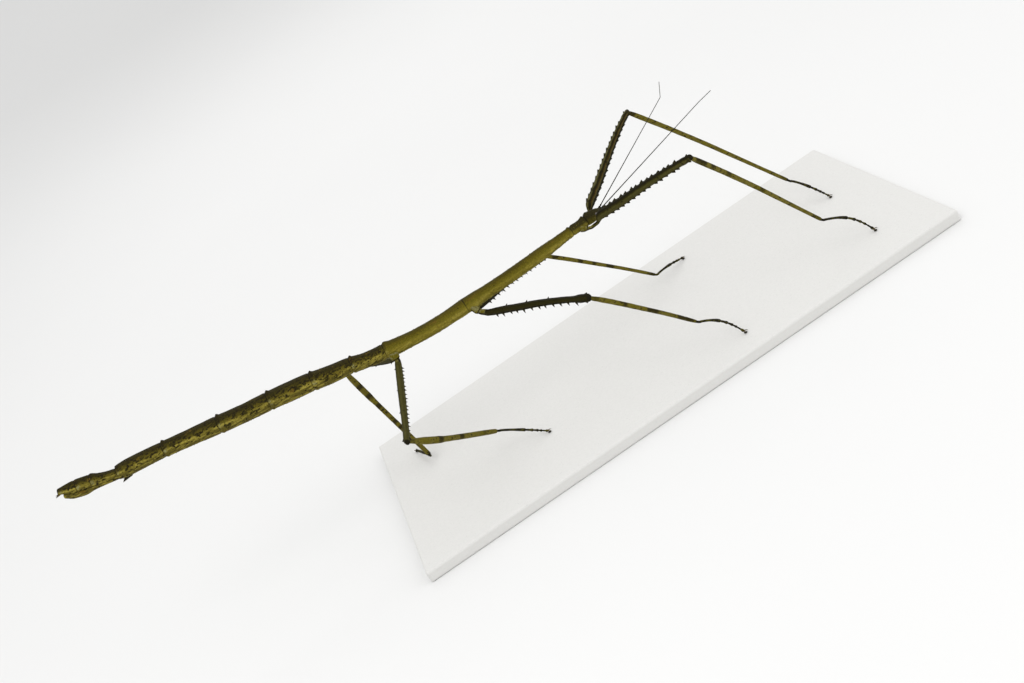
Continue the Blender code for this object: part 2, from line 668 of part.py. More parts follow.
def make_antenna(name, side_name, head, collection, cutters):
    """Thick root joint in a socket of the head, a shorter second joint and a long thin whip."""
    side = SIDES[side_name]
    heading, lift, curl = FEELER_HOLD[side_name]
    root = head_place(ANTENNA_AT[0], side * ANTENNA_AT[1], ANTENNA_AT[2])
    along = direction(heading, lift)
    start = root - along * ANTENNA_SINK
    scape_end = ANTENNA_SINK + SCAPE_LENGTH
    joints = [(0, SCAPE_RADIUS), (scape_end, SCAPE_RADIUS * SCAPE_END),
              (scape_end + SCAPE_NECK, PEDICEL_RADIUS), (scape_end + PEDICEL_LENGTH, PEDICEL_RADIUS)]
    whip_start = joints[-1][0] + PEDICEL_NECK
    whip = ANTENNA_LENGTH + ANTENNA_SINK - whip_start
    for step in range(FEELER_POINTS):
        share = step / (FEELER_POINTS - 1)
        joints.append((whip_start + whip * share,
                       FEELER_RADIUS + (FEELER_TIP_RADIUS - FEELER_RADIUS) * share))
    curve = bpy.data.curves.new(name, "CURVE")
    curve.dimensions = "3D"
    curve.bevel_depth = MM
    curve.bevel_resolution = 2
    curve.use_fill_caps = True
    line = curve.splines.new("POLY")
    line.points.add(len(joints) - 1)
    point, before = start, 0
    for knot, (distance, radius) in zip(line.points, joints):
        bend = curl if before / ANTENNA_LENGTH > FEELER_KINK_AT else 0
        point = point + direction(heading, lift + bend) * (distance - before)
        before = distance
        knot.co = (*(point * MM), 1)
        knot.radius = radius
    feeler = bpy.data.objects.new(name, curve)
    collection.objects.link(feeler)
    paint(feeler, BLACK)
    socket = cone(name + "_socket", start - along * GAP, along, ANTENNA_SINK + 2, SCAPE_RADIUS + GAP,
                  SCAPE_RADIUS + GAP, collection, sides=12)
    cut(head, socket, cutters)


def make_base(collection):
    bm = bmesh.new()
    middle = Vector((BASE_FRONT - BASE_LENGTH / 2, 0, BASE_THICKNESS / 2))
    size = Matrix.Diagonal((BASE_LENGTH * MM, BASE_WIDTH * MM, BASE_THICKNESS * MM, 1))
    bmesh.ops.create_cube(bm, size=1, matrix=Matrix.Translation(middle * MM) @ size)
    mesh = bpy.data.meshes.new("stand_base")
    bm.to_mesh(mesh)
    bm.free()
    base = bpy.data.objects.new("stand_base", mesh)
    collection.objects.link(base)
    edge = base.modifiers.new("edge", "BEVEL")
    edge.width = BASE_EDGE * MM
    edge.segments = 2
    paint(base, BASE_GREY, 0.5)


def main():
    clear_scene()
    parts = new_collection("Phryganistria chinensis")
    cutters = new_collection("cutters")
    body = {}
    for index, piece in enumerate(BODY):
        body[piece.name] = make_body_piece(index, parts)
    arm_body(body, parts)
    make_operculum(parts)
    for side_name, side in SIDES.items():
        make_eye("eye_" + side_name, side, body["head"], parts, cutters)
        make_antenna("antenna_" + side_name, side_name, body["head"], parts, cutters)
    for name in HOLDS:
        make_leg(name, body, parts, cutters)
    for piece in BODY:
        paint(body[piece.name], piece.colour)
    make_base(parts)


main()
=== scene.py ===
"""Looks of a long stick insect (Phryganistria chinensis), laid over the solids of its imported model.

The tables give sizes and places in millimetres and degrees, as the solids' own source does, and the
meshes are metres. X points to the head, Y to the insect's left and Z up.
"""
import math
import random
from collections import namedtuple

import bmesh
import bpy
import numpy as np
from bpy.props import FloatProperty, FloatVectorProperty, PointerProperty
from mathutils import Matrix, Vector


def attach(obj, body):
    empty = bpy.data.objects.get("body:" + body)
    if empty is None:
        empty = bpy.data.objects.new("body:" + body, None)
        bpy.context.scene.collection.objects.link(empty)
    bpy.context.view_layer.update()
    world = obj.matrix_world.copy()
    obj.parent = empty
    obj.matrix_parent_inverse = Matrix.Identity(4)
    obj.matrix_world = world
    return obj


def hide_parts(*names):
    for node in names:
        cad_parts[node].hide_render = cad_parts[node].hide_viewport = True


bl_info = {
    "name": "Long stick insect",
    "version": (1, 0, 0),
    "blender": (4, 5, 0),
    "location": "3D View > Sidebar > Stick insect",
    "description": "Skin, thorns, feelers, feet and finishes of a long stick insect on a display base",
    "category": "Add Mesh",
}

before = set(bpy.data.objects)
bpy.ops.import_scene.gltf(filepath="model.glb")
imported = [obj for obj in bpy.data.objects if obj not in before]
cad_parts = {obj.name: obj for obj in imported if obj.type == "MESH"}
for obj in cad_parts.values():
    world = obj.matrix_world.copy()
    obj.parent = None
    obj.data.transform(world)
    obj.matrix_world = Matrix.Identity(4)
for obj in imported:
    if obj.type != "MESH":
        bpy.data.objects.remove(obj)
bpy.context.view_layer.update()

MM = 0.001
GAP = 0.3
UP = np.array((0.0, 0.0, 1.0))
LEFTWARD = np.array((0.0, 1.0, 0.0))
SIDES = {"left": 1, "right": -1}
ROOT_BODY = "root"

BASE_TOP = 6.0
SOLE_LEVEL = BASE_TOP + GAP
NOSE = np.array((83.6, 0.0, 76.0))
WIDTH_TO_HEIGHT = 1.04

# A body piece runs from its front joint to its rear joint, which lies "climb" degrees higher,
# and hangs below the straight line between them by its sag.
Piece = namedtuple("Piece", "name length climb sag rings")
# A ring lies "at" from the front joint; crest raises its back, knob its two flanks.
Ring = namedtuple("Ring", "at half_width up down crest knob", defaults=(0, 0))
# A leg: thicknesses of femur and tibia at distances from their roots, how far the tibia bows up
# at distances from its root, and the length of the tarsus.
Leg = namedtuple("Leg", "hip_at hip_down coxa_lean coxa_root coxa_tip femur tibia tibia_bow tarsus")
# How one leg is held: headings turn from X towards Y, lifts rise from level, roll turns its thorns.
Hold = namedtuple("Hold", "femur_heading femur_lift femur_bow roll tibia_heading ankle_height "
                          "tarsus_heading tarsus_arch")
# A row of thorns: angle round the femur from its back towards its front, and the stretch it covers.
Row = namedtuple("Row", "angle count start end height root")
# A dark band on a tibia: its middle, how far it reaches to each side, and how dark it is.
Band = namedtuple("Band", "at reach dark")

HIP_OUT = 4.0
COXA_ROOT_DOWN = 1.2
FEMUR_DEPTH_TO_WIDTH = 1.18
HIP_TURN = 1.4
KNEE_TURN = 2.1
KNEE_CAP = 0.6
ANKLE_TURN = 1.4

STRAIGHT = ((0, 0), (1, 0))
RIGHT_FORE_BOW = ((0, 0), (5.5, 0.1), (11.5, 2.5), (30, 1.9), (46, 1.7), (60, 1.1), (78, 0))
LEFT_FORE_BOW = ((0, 0), (5.5, 0.1), (11.5, 2.3), (30, 2.0), (46, 2.0), (60, 1.6), (70, 0.9), (78, 0))
MID_BOW = ((0, 0), (5, -0.7), (15, -0.2), (27, 0.2), (40, 0.75), (51, 0.65), (63, 0.1), (69, 0))
HIGH_BOW = ((0, 0), (30, 1.3), (69, 0))
LOW_BOW = ((0, 0), (8, -1.4), (30, -1.0), (62.7, 0))

LEGS = {
    "fore": Leg(74.2, 2.9, 4.0, 3.2, 2.1,
                ((0, 1.8), (6.5, 1.8), (11.5, 4.2), (22, 4.3), (40, 3.8), (60, 3.3), (71, 2.9), (74, 3.3),
                 (78, 2.6)),
                ((0, 1.9), (5, 2.6), (30, 2.4), (60, 2.1), (80, 1.8), (91, 1.8), (95.4, 1.6)),
                ((0, 0), (27, 0.7), (45, 0.8), (58, 0.6), (76, 0.3), (95.4, 0)), 26.5),
    "mid": Leg(5.7, 6.0, 2.6, 3.6, 3.3,
               ((0, 3.0), (5, 3.5), (27, 3.4), (45, 3.1), (60, 2.9), (65, 4.1), (69, 3.5)),
               ((0, 1.8), (5, 2.3), (30, 2.0), (45, 1.8), (58, 1.7), (62.3, 1.4)),
               ((0, 0), (16, 0.5), (40, 0.55), (62.3, 0)), 23.5),
    "hind": Leg(-42.0, 6.1, 0.0, 5.0, 3.9,
                ((0, 3.4), (4, 3.9), (30, 3.8), (50, 3.3), (57, 3.4), (59.5, 3.8), (62.7, 3.0)),
                ((0, 1.9), (4, 2.2), (9, 3.1), (14, 3.4), (23, 3.3), (28, 2.7), (50, 2.5), (67, 2.3),
                 (69.8, 1.7)),
                ((0, 0), (25, -0.8), (69.8, 0)), 25.6),
}
HOLDS = {
    "fore_right": Hold(-49.2, 16.2, RIGHT_FORE_BOW, 0, 32.0, 11.4, -52.3, 3.4),
    "fore_left": Hold(42.3, 15.6, LEFT_FORE_BOW, -50, -20.9, 11.1, -69.0, 1.5),
    "mid_right": Hold(-49.7, -3.75, MID_BOW, 0, 14.9, 11.0, -47.9, 3.0),
    "mid_left": Hold(47.4, -12.5, HIGH_BOW, -45, -15.4, 6.5, 35.0, 1.5),
    "hind_right": Hold(-103.8, -12.45, STRAIGHT, 0, 50.6, 11.6, -26.6, 1.2),
    "hind_left": Hold(119.9, -6.65, LOW_BOW, -70, -69.8, 4.0, 105.0, 1.5),
}
THORNS = {
    "fore": (Row(15, 15, 13, 69, 1.1, 2.0), Row(195, 14, 15, 69, 1.0, 1.8)),
    "mid": (Row(214, 12, 10, 61, 1.5, 1.1), Row(34, 3, 17, 45, 0.9, 1.0)),
    "hind": (Row(110, 17, 6, 55, 1.1, 0.9), Row(205, 10, 9, 52, 1.0, 0.8), Row(290, 3, 6, 40, 0.9, 0.9)),
}
# Angle round each femur that shows as its upper edge.
UPPER_EDGES = {"fore_right": 15, "fore_left": 322, "mid_right": 34, "mid_left": 342, "hind_right": 290,
               "hind_left": 210}
# Angles round a femur at which its end runs out into a pointed lobe over the knee.
KNEE_LOBES = {"fore": (15, 105, 195), "mid": (34, 124, 214), "hind": (110, 200, 290)}
# Lengthwise keels of femora and tibiae, as angles round the limb from its back towards its front.
FEMUR_KEELS = {"fore": (15, 62, 118, 195, 242, 300), "mid": (34, 80, 140, 214, 270, 330),
               "hind": (20, 70, 110, 205, 250, 290)}
TIBIA_KEELS = (0, 58, 122, 180, 238, 302)
BANDS = {
    "fore_right": (Band(6.5, 3.6, 1.0), Band(14.1, 1.4, 0.9), Band(25.3, 1.8, 0.8), Band(36, 1.0, 0.35),
                   Band(49.1, 1.8, 0.8), Band(70, 1.6, 0.5), Band(90, 3.0, 0.5)),
    "fore_left": (Band(2.4, 1.9, 0.9), Band(15.0, 1.2, 0.25), Band(31, 1.4, 0.3), Band(52.0, 1.6, 0.3),
                  Band(74, 1.4, 0.3), Band(92, 2.4, 0.5)),
    "mid_right": (Band(3.0, 2.0, 0.6), Band(19.5, 1.2, 0.9), Band(35.3, 3.4, 1.0), Band(54.5, 5.0, 0.95)),
    "mid_left": (Band(5.5, 1.2, 0.9), Band(19.8, 1.4, 0.9), Band(27.4, 1.2, 0.8), Band(36.2, 2.2, 1.0),
                 Band(59.5, 1.6, 0.9)),
    "hind_right": (Band(3.0, 1.6, 0.6), Band(23.2, 1.8, 0.95), Band(39.3, 1.8, 0.95), Band(58, 1.4, 0.5)),
    "hind_left": (Band(15.7, 1.4, 0.9), Band(22.7, 1.4, 0.9), Band(30.4, 1.6, 0.9), Band(42.8, 1.3, 0.9),
                  Band(47.1, 1.1, 0.9), Band(60, 1.4, 0.5)),
}
# Thorns low on the mesothorax: distance from its front joint and height.
MESOTHORAX_THORNS = ((14, 0.5), (22, 0.5), (31, 0.6), (39, 0.6), (45, 1.2), (49.5, 1.3), (53, 1.4),
                     (56.5, 1.2))
MESOTHORAX_THORN_TURN = 27
MESOTHORAX_THORN_ROOT = 1.1
THORN_SINK = 0.6
THORN_LEAN = 0.35
THORN_STRAY = 0.6
THORN_HEIGHTS = (0.75, 1.15)
THORN_REACH = 0.95
# Height and breadth of the skin's thorns against the solids' ones, whose roots the keels would hide.
THORN_GROWTH = {"fore_right": 1.3, "fore_left": 0.95, "mid_right": 1.4, "mid_left": 1.4, "hind_right": 1.2,
                "hind_left": 1.2}
THORN_BREADTH = {"fore": 1.5, "mid": 1.2, "hind": 1.2}

TARSOMERE_ENDS = (0.0, 0.57, 0.72, 0.82, 0.89, 1.0)
TARSUS_ROOT = 0.6
TARSUS_FLARE = 0.82
CLAW_LENGTH = 1.9
CLAW_ROOT = 0.28
CLAW_SPREAD = 32
PAD_RADIUS = 0.95

EYE_RADIUS = 1.0
EYE_AT = (6.0, 2.65, 1.0)
PALP_AT = (8.0, 0.9, -2.3)
PALP_LENGTH = 2.0
ANTENNA_AT = (8.4, 1.0, 1.3)
ANTENNA_LENGTH = 87
ANTENNA_SINK = 0.9
SCAPE_LENGTH = 2.2
SCAPE_RADIUS = 0.6
PEDICEL_LENGTH = 1.4
PEDICEL_RADIUS = 0.42
FEELER_RADIUS = 0.28
FEELER_TIP_RADIUS = 0.15
FEELER_RINGS = 46
FEELER_KINK_AT = 0.87
FEELER_HOLD = {"right": (-33.0, 22.8, -3), "left": (33.9, 12.2, 41)}

RING_LIP = 0.2
RING_LENGTH = 2.4
RING_CREST = 0.6
RING_KNOB = 0.15
NECK_TUCK = 0.3

TERGITE_FLOOR = 1.9
FLAT_BELOW = 0.45
OPERCULUM_RINGS = ((0.0, 2.2, 1.3), (0.24, 2.8, 2.2), (0.55, 3.0, 3.7), (0.77, 2.7, 3.4), (0.93, 1.6, 1.8))
STERNUM_SPINE_AT = 19.9
STERNUM_SPINE_LENGTH = 5.4
STERNUM_SPINE_ROOT = 1.7
STERNUM_SPINE_LEAN = 38
CERCUS_AT = 6.9
CERCUS_OUT = 1.0
CERCUS_LENGTH = 4.2
CERCUS_ROOT = 0.6
CERCUS_DROOP = 0.45

# Outlines of small spikes: share of the length and share of the root's half width.
THORN_SHAPE = ((0, 1.25), (0.18, 1.0), (0.4, 0.72), (0.65, 0.42), (0.86, 0.2), (1, 0.05))
TOOTH_SHAPE = ((0, 1.1), (0.3, 0.86), (0.6, 0.5), (0.85, 0.22), (1, 0.06))
GRANULE_SHAPE = ((0, 1.0), (0.45, 0.85), (0.8, 0.5), (1, 0.12))
HAIR_SHAPE = ((0, 1.0), (0.5, 0.6), (1, 0.1))
LEAF_SHAPE = ((0, 0.9), (0.3, 1.0), (0.6, 0.86), (0.85, 0.5), (1, 0.1))

# How many of each small thing there are.
GRANULES = {"prothorax": 140, "mesothorax": 1500, "metathorax": 850, "abdomen_2": 130, "abdomen_3": 120,
            "abdomen_4": 120, "abdomen_5": 130, "abdomen_6": 140, "abdomen_7": 140}
CERCUS_BRISTLES = 60
FEELER_HAIRS = 320
FEMUR_HAIRS = 260
TIBIA_HAIRS = 420
TIBIA_SPINES = 46
KEEL_THORNS = 26

RING_STEPS = 5
WRINKLE_LENGTH = 0.8
PATH_STEP = 0.5

SKIN_SPECULAR = 0.04
GROUND = (0.1, 0.1, 0.1, 1.0)
SHADE = (0.02, 0.02, 0.02, 1.0)
LIGHT_TARGET = (0.0, 0.0, 0.05)
SENSOR_WIDTH = 36.0


def unit(vector):
    """Vectors of length one along the last axis."""
    return vector / np.linalg.norm(vector, axis=-1, keepdims=True)


def direction(heading, lift):
    """Unit vector at a heading from X towards Y and a lift above level, in degrees."""
    turn, rise = math.radians(heading), math.radians(lift)
    return np.array((math.cos(rise) * math.cos(turn), math.cos(rise) * math.sin(turn), math.sin(rise)))


def climb_axes(climb):
    """Rearward direction of a body piece that climbs to the rear, and the direction of its back."""
    rise = np.radians(climb)
    nought = np.zeros_like(rise)
    return (np.stack((-np.cos(rise), nought, np.sin(rise)), -1),
            np.stack((np.sin(rise), nought, np.cos(rise)), -1))


def flowing(pairs, at):
    """Values at distances, on a smooth curve without overshoot through (distance, value) pairs."""
    knots, heights = (np.array(column, float) for column in zip(*pairs))
    steps = np.diff(knots)
    slopes = np.diff(heights) / steps
    before, after = slopes[:-1], slopes[1:]
    alike = before * after > 0
    inner = np.where(alike, 2 * before * after / np.where(alike, before + after, 1), 0)
    tangents = np.concatenate((slopes[:1], inner, slopes[-1:]))
    at = np.clip(at, knots[0], knots[-1])
    index = np.clip(np.searchsorted(knots, at, side="right") - 1, 0, len(steps) - 1)
    share = (at - knots[index]) / steps[index]
    rest = 1 - share
    return ((1 + 2 * share) * rest ** 2 * heights[index] + share * rest ** 2 * steps[index] * tangents[index]
            + share ** 2 * (3 - 2 * share) * heights[index + 1]
            - share ** 2 * rest * steps[index] * tangents[index + 1])


def hump(distance, reach):
    """Bell curve that is one at distance nought and fades over its reach."""
    return np.exp(-(distance / reach) ** 2)


def round_angles(around):
    """Angles of evenly spread points round a ring."""
    return 2 * math.pi * np.arange(around) / around


def turn_between(angle, middle):
    """Shortest turn from a middle angle to each angle, both in radians."""
    return (angle - middle + math.pi) % (2 * math.pi) - math.pi


def near_turn(angle, turn, reach):
    """Bell curve over angles that peaks at a turn in degrees."""
    return hump(turn_between(angle, math.radians(turn)), reach)


def waves(seed, *places):
    """Gentle irregular relief of about -1 to 1 over places, as a sum of waves of drawn lengths."""
    dice = np.random.default_rng(seed)
    total = 0
    for _ in range(7):
        phase = dice.uniform(0, 2 * math.pi)
        for place in places:
            phase = phase + place * dice.uniform(0.5, 2.4)
        total = total + np.sin(phase)
    return total / 4


def add_piece(name, points, faces, traits, slot, finish, nodes=()):
    """New piece from points in millimetres, with its traits as point attributes."""
    mesh = bpy.data.meshes.new(name)
    mesh.from_pydata((points * MM).tolist(), [], faces)
    check = bmesh.new()
    check.from_mesh(mesh)
    inside_out = check.calc_volume(signed=True) < 0
    check.free()
    if inside_out:
        mesh.flip_normals()
    mesh.shade_smooth()
    for trait, values in traits.items():
        mesh.attributes.new(trait, "FLOAT", "POINT").data.foreach_set("value", values.astype(np.float32))
    mesh.materials.append(finish)
    piece = bpy.data.objects.new(name, mesh)
    bpy.context.scene.collection.objects.link(piece)
    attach(piece, ROOT_BODY)
    if nodes:
        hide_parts(*nodes)
    return piece


def tubes(grid, traits):
    """Points, faces and traits of closed tubes: grid[tube, ring, step] are points round their rings."""
    count, rings, around, _ = grid.shape
    ends = grid[:, (0, -1)].mean(axis=2)
    points = np.concatenate((grid.reshape(count, rings * around, 3), ends), axis=1)
    ring, step = np.meshgrid(np.arange(rings - 1), np.arange(around), indexing="ij")
    here, there = ring * around + step, ring * around + (step + 1) % around
    quads = np.stack((here, there, there + around, here + around), -1).reshape(-1, 4)
    step, after = np.arange(around), (np.arange(around) + 1) % around
    last = (rings - 1) * around
    first_fan = np.stack((np.full(around, rings * around), after, step), -1)
    last_fan = np.stack((np.full(around, rings * around + 1), last + step, last + after), -1)
    offsets = np.arange(count)[:, None, None] * (rings * around + 2)
    faces = (quads + offsets).reshape(-1, 4).tolist()
    faces += (np.concatenate((first_fan, last_fan)) + offsets).reshape(-1, 3).tolist()
    spread = {}
    for trait, values in traits.items():
        values = np.broadcast_to(values, (count, rings, around)).astype(float)
        caps = values[:, (0, -1)].mean(axis=2)
        spread[trait] = np.concatenate((values.reshape(count, -1), caps), axis=1).ravel()
    return points.reshape(-1, 3), faces, spread


def tube(grid, traits):
    """One closed tube; its traits hold a value for each ring, each step or both."""
    return tubes(grid[None], traits)


def joined(*shapes):
    """One set of points, faces and traits from several."""
    points, faces, traits = [], [], {}
    start = 0
    for shape_points, shape_faces, shape_traits in shapes:
        points.append(shape_points)
        faces += [[corner + start for corner in face] for face in shape_faces]
        for trait, values in shape_traits.items():
            traits.setdefault(trait, []).append(values)
        start += len(shape_points)
    return np.concatenate(points), faces, {trait: np.concatenate(parts) for trait, parts in traits.items()}


def spikes(roots, leans, along, lengths, widths, shape, sides=7, thinness=1.0, bend=0.0):
    """Tapered spikes: widths run with the limb's direction, and thinness narrows them across it."""
    shares, swells = (np.array(column, float) for column in zip(*shape))
    leans = unit(leans)
    with_limb = unit(along - leans * (along * leans).sum(-1, keepdims=True))
    across = np.cross(leans, with_limb)
    angle = round_angles(sides)
    lengths, widths = np.asarray(lengths, float), np.asarray(widths, float)
    middle = (roots[:, None] + leans[:, None] * (lengths[:, None] * shares)[..., None]
              + with_limb[:, None] * (bend * lengths[:, None] * shares ** 2)[..., None])
    radius = (widths[:, None] / 2 * swells)[..., None, None]
    grid = (middle[:, :, None]
            + with_limb[:, None, None] * np.cos(angle)[:, None] * radius
            + across[:, None, None] * np.sin(angle)[:, None] * radius * thinness)
    return tubes(grid, {"tip": shares[:, None]})


def blobs(centres, first, second, third, rings=10, around=14):
    """Ellipsoids with their half axes as vectors."""
    lift = np.linspace(-0.499 * math.pi, 0.499 * math.pi, rings)[:, None, None]
    turn = round_angles(around)[None, :, None]
    grid = (centres[:, None, None] + first[:, None, None] * np.sin(lift)
            + second[:, None, None] * np.cos(lift) * np.cos(turn)
            + third[:, None, None] * np.cos(lift) * np.sin(turn))
    return tubes(grid, {"tip": (np.sin(lift[..., 0]) + 1) / 2})


def path_frames(path):
    """Tangent, back and flank at each path point; the back is carried from the last point."""
    tangents = unit(np.gradient(path, axis=0))
    backs = np.empty_like(path)
    back = UP
    for index in range(len(path) - 1, -1, -1):
        back = back - tangents[index] * back.dot(tangents[index])
        back = back / np.linalg.norm(back)
        backs[index] = back
    return tangents, backs, np.cross(tangents, backs)


def limb_grid(path, depth, width, side, around, relief=0.0):
    """Rings round a path; angles run from the back towards the front, whatever the limb's side."""
    _, backs, flanks = path_frames(path)
    angle = round_angles(around)
    out = (backs[:, None] * np.cos(angle)[:, None], flanks[:, None] * side * np.sin(angle)[:, None])
    outward = out[0] + out[1]
    skin = path[:, None] + out[0] * depth[:, None, None] + out[1] * width[:, None, None]
    return skin + outward * np.asarray(relief)[..., None]


def keels(angle, turns, roll, height, reach=0.16):
    """Relief of lengthwise keels round a limb."""
    return sum(near_turn(angle, turn + roll, reach) for turn in turns) * height


def round_rings(pairs, crests=()):
    """Rings from (distance, diameter) pairs; crests lists (distance, height) on the back."""
    crest_at = dict(crests)
    return tuple(Ring(at, wide / 2 * WIDTH_TO_HEIGHT, wide / 2, wide / 2, crest_at.get(at, 0))
                 for at, wide in pairs)


def segment_rings(length, front, middle, rear):
    """Rings of an abdominal segment with a tucked neck and a raised, knobbed hind margin."""
    lip = rear / 2 + RING_LIP
    return (round_rings(((0, front - 2 * NECK_TUCK), (0.9, front), (length / 2, middle),
                         (length - RING_LENGTH, rear)))
            + (Ring(length - RING_LENGTH / 2, lip * WIDTH_TO_HEIGHT, lip, lip, RING_CREST, RING_KNOB),)
            + round_rings(((length, rear - 2 * NECK_TUCK),)))


BODY = (
    Piece("head", 9.2, 0.6, 0, (Ring(0, 1.4, 1.4, 1.6), Ring(0.9, 2.2, 2.3, 2.2), Ring(2.6, 2.8, 3.1, 2.5),
                                Ring(5.0, 3.2, 3.7, 2.6), Ring(7.8, 3.1, 4.0, 2.7),
                                Ring(9.2, 2.5, 3.3, 2.5))),
    Piece("prothorax", 8.8, -0.5, 0, round_rings(((0, 5.0), (0.9, 5.6), (2.4, 5.5), (4, 5.3), (7.6, 5.3),
                                                  (8.8, 4.8)), ((0.9, 1.0), (2.4, 0.4), (7.6, 0.3)))),
    Piece("mesothorax", 64.6, -0.8, 0.7, round_rings(((0, 4.8), (1.0, 5.4), (2.2, 5.3), (6, 5.5), (20, 6.7),
                                                      (35, 6.8), (50, 6.9), (59, 7.7), (64.6, 8.0)),
                                                     ((1.0, 0.5),))),
    Piece("metathorax", 46.1, 5.2, 1.4, round_rings(((0, 8.0), (3, 7.9), (10, 7.5), (28, 7.5), (36, 7.8),
                                                     (41.5, 8.3), (44.7, 8.4), (46.1, 7.7)),
                                                    ((44.7, 0.7),))),
    Piece("abdomen_2", 18.1, 13.2, 0.6, segment_rings(18.1, 7.9, 7.8, 8.3)),
    Piece("abdomen_3", 20.8, 12.3, 0.4, segment_rings(20.8, 8.3, 9.1, 9.5)),
    Piece("abdomen_4", 23.1, 10.5, 0, segment_rings(23.1, 9.5, 9.8, 9.5)),
    Piece("abdomen_5", 26.8, 9.7, 0.3, segment_rings(26.8, 9.4, 9.1, 9.3)),
    Piece("abdomen_6", 29.1, 10.7, 0, segment_rings(29.1, 9.0, 8.3, 8.1)),
    Piece("abdomen_7", 24.7, 8.1, -0.1, round_rings(((0, 7.3), (0.9, 7.7), (10, 8.2), (18, 8.3), (23, 7.5),
                                                     (24.7, 6.9)))),
    Piece("abdomen_8", 13.3, 17.0, 0, (Ring(0, 2.7, 2.3, TERGITE_FLOOR), Ring(4, 2.9, 2.3, TERGITE_FLOOR),
                                       Ring(9, 3.3, 2.9, TERGITE_FLOOR), Ring(12.3, 3.5, 3.9, TERGITE_FLOOR),
                                       Ring(13.3, 3.3, 3.5, TERGITE_FLOOR))),
    Piece("abdomen_9", 7.2, 15.5, 0, (Ring(0, 3.2, 3.4, TERGITE_FLOOR), Ring(0.9, 3.4, 3.6, TERGITE_FLOOR),
                                      Ring(6.2, 3.4, 3.7, TERGITE_FLOOR),
                                      Ring(7.2, 3.2, 3.5, TERGITE_FLOOR))),
    Piece("abdomen_10", 8.9, 16.5, 0, (Ring(0, 3.1, 3.3, TERGITE_FLOOR), Ring(0.9, 3.2, 3.4, TERGITE_FLOOR),
                                       Ring(4.5, 2.8, 2.9, 1.5), Ring(8.9, 1.7, 2.0, 0.4))),
)
NAMES = [piece.name for piece in BODY]
BODY_LENGTH = sum(piece.length for piece in BODY)


def body_joints():
    """Joint places from the front of the head to the tip of the abdomen, with their section climbs."""
    places = [NOSE]
    for piece in BODY:
        places.append(places[-1] + climb_axes(piece.climb)[0] * piece.length)
    climbs = [piece.climb for piece in BODY]
    between = [climbs[0]] + [(a + b) / 2 for a, b in zip(climbs, climbs[1:])] + [climbs[-1]]
    return places, between


PLACES, CLIMBS = body_joints()


def body_centre(at_x):
    """Centre of the body at a place along X."""
    for piece, front, rear in zip(BODY, PLACES, PLACES[1:]):
        if rear[0] <= at_x <= front[0]:
            share = (front[0] - at_x) / (front[0] - rear[0])
            return front + (rear - front) * share - UP * piece.sag * math.sin(math.pi * share)
    return PLACES[-1]


def body_section(index, at):
    """Centres of a body piece at distances from its front joint, and the directions of its back."""
    piece = BODY[index]
    at = np.asarray(at, float)
    share = at / piece.length
    rearward, _ = climb_axes(piece.climb)
    _, back = climb_axes(CLIMBS[index] * (1 - share) + CLIMBS[index + 1] * share)
    sag = UP * (piece.sag * np.sin(math.pi * np.clip(share, 0, 1)))[..., None]
    return PLACES[index] + rearward * at[..., None] - sag, back


def body_sizes(index, at):
    """Half width, rise, fall, crest and knob of a body piece at distances from its front joint."""
    rings = BODY[index].rings
    return [flowing([(ring.at, getattr(ring, size)) for ring in rings], at)
            for size in ("half_width", "up", "down", "crest", "knob")]


def body_stations(length):
    """Ring distances along a body piece, closer together at its joints."""
    middle = np.linspace(2.0, length - 2.4, max(6, int((length - 4.4) / 0.42)))
    return np.concatenate((np.linspace(0, 1.8, 10), middle, np.linspace(length - 2.2, length, 14)))


def hip_swelling(x, angle):
    """Bulge of the lower flank where a coxa sits in it."""
    bulge = 0
    for pair, height in (("mid", 0.35), ("hind", 0.3)):
        for turn in (-38, 218):
            bulge = bulge + (height * hump(x - LEGS[pair].hip_at, 3.6)
                             * near_turn(angle, turn, 0.5))
    return bulge


def body_relief(index, at, angle, x):
    """Keels, folds, wrinkles and hind-margin bumps of a body piece."""
    piece = BODY[index]
    abdomen = piece.name.startswith("abdomen")
    length = piece.length
    from_joint = np.minimum(at, length - at)
    inner = 1 - hump(from_joint, 2.2)
    relief = 0.05 * waves(11 + index, at * 0.35, np.cos(angle) * 2.2, np.sin(angle) * 2.2)
    relief = relief + hump(turn_between(angle, math.pi / 2), 0.07) * (0.13 if abdomen else 0.07) * inner
    wrinkle = np.sin(2 * math.pi * at / WRINKLE_LENGTH) * hump(from_joint - 1.4, 1.6)
    relief = relief + 0.025 * wrinkle
    if abdomen:
        for turn in (-6, 186):
            relief = relief + 0.16 * near_turn(angle, turn, 0.09) * inner
        for turn in (-34, 214):
            relief = relief - 0.10 * near_turn(angle, turn, 0.08) * inner
        for turn in (58, 122):
            scar = hump(at - 0.3 * length, 1.4) * near_turn(angle, turn, 0.12)
            relief = relief - 0.09 * scar
    else:
        for turn in (-14, 194):
            relief = relief - 0.08 * near_turn(angle, turn, 0.06) * inner
        relief = relief + hip_swelling(x, angle)
    if any(ring.knob for ring in piece.rings):
        rim = hump(at - (length - RING_LENGTH / 2), 0.32)
        for turn, height in ((90, 0.12), (66, 0.1), (114, 0.1)):
            relief = relief + height * rim * near_turn(angle, turn, 0.16)
    return relief


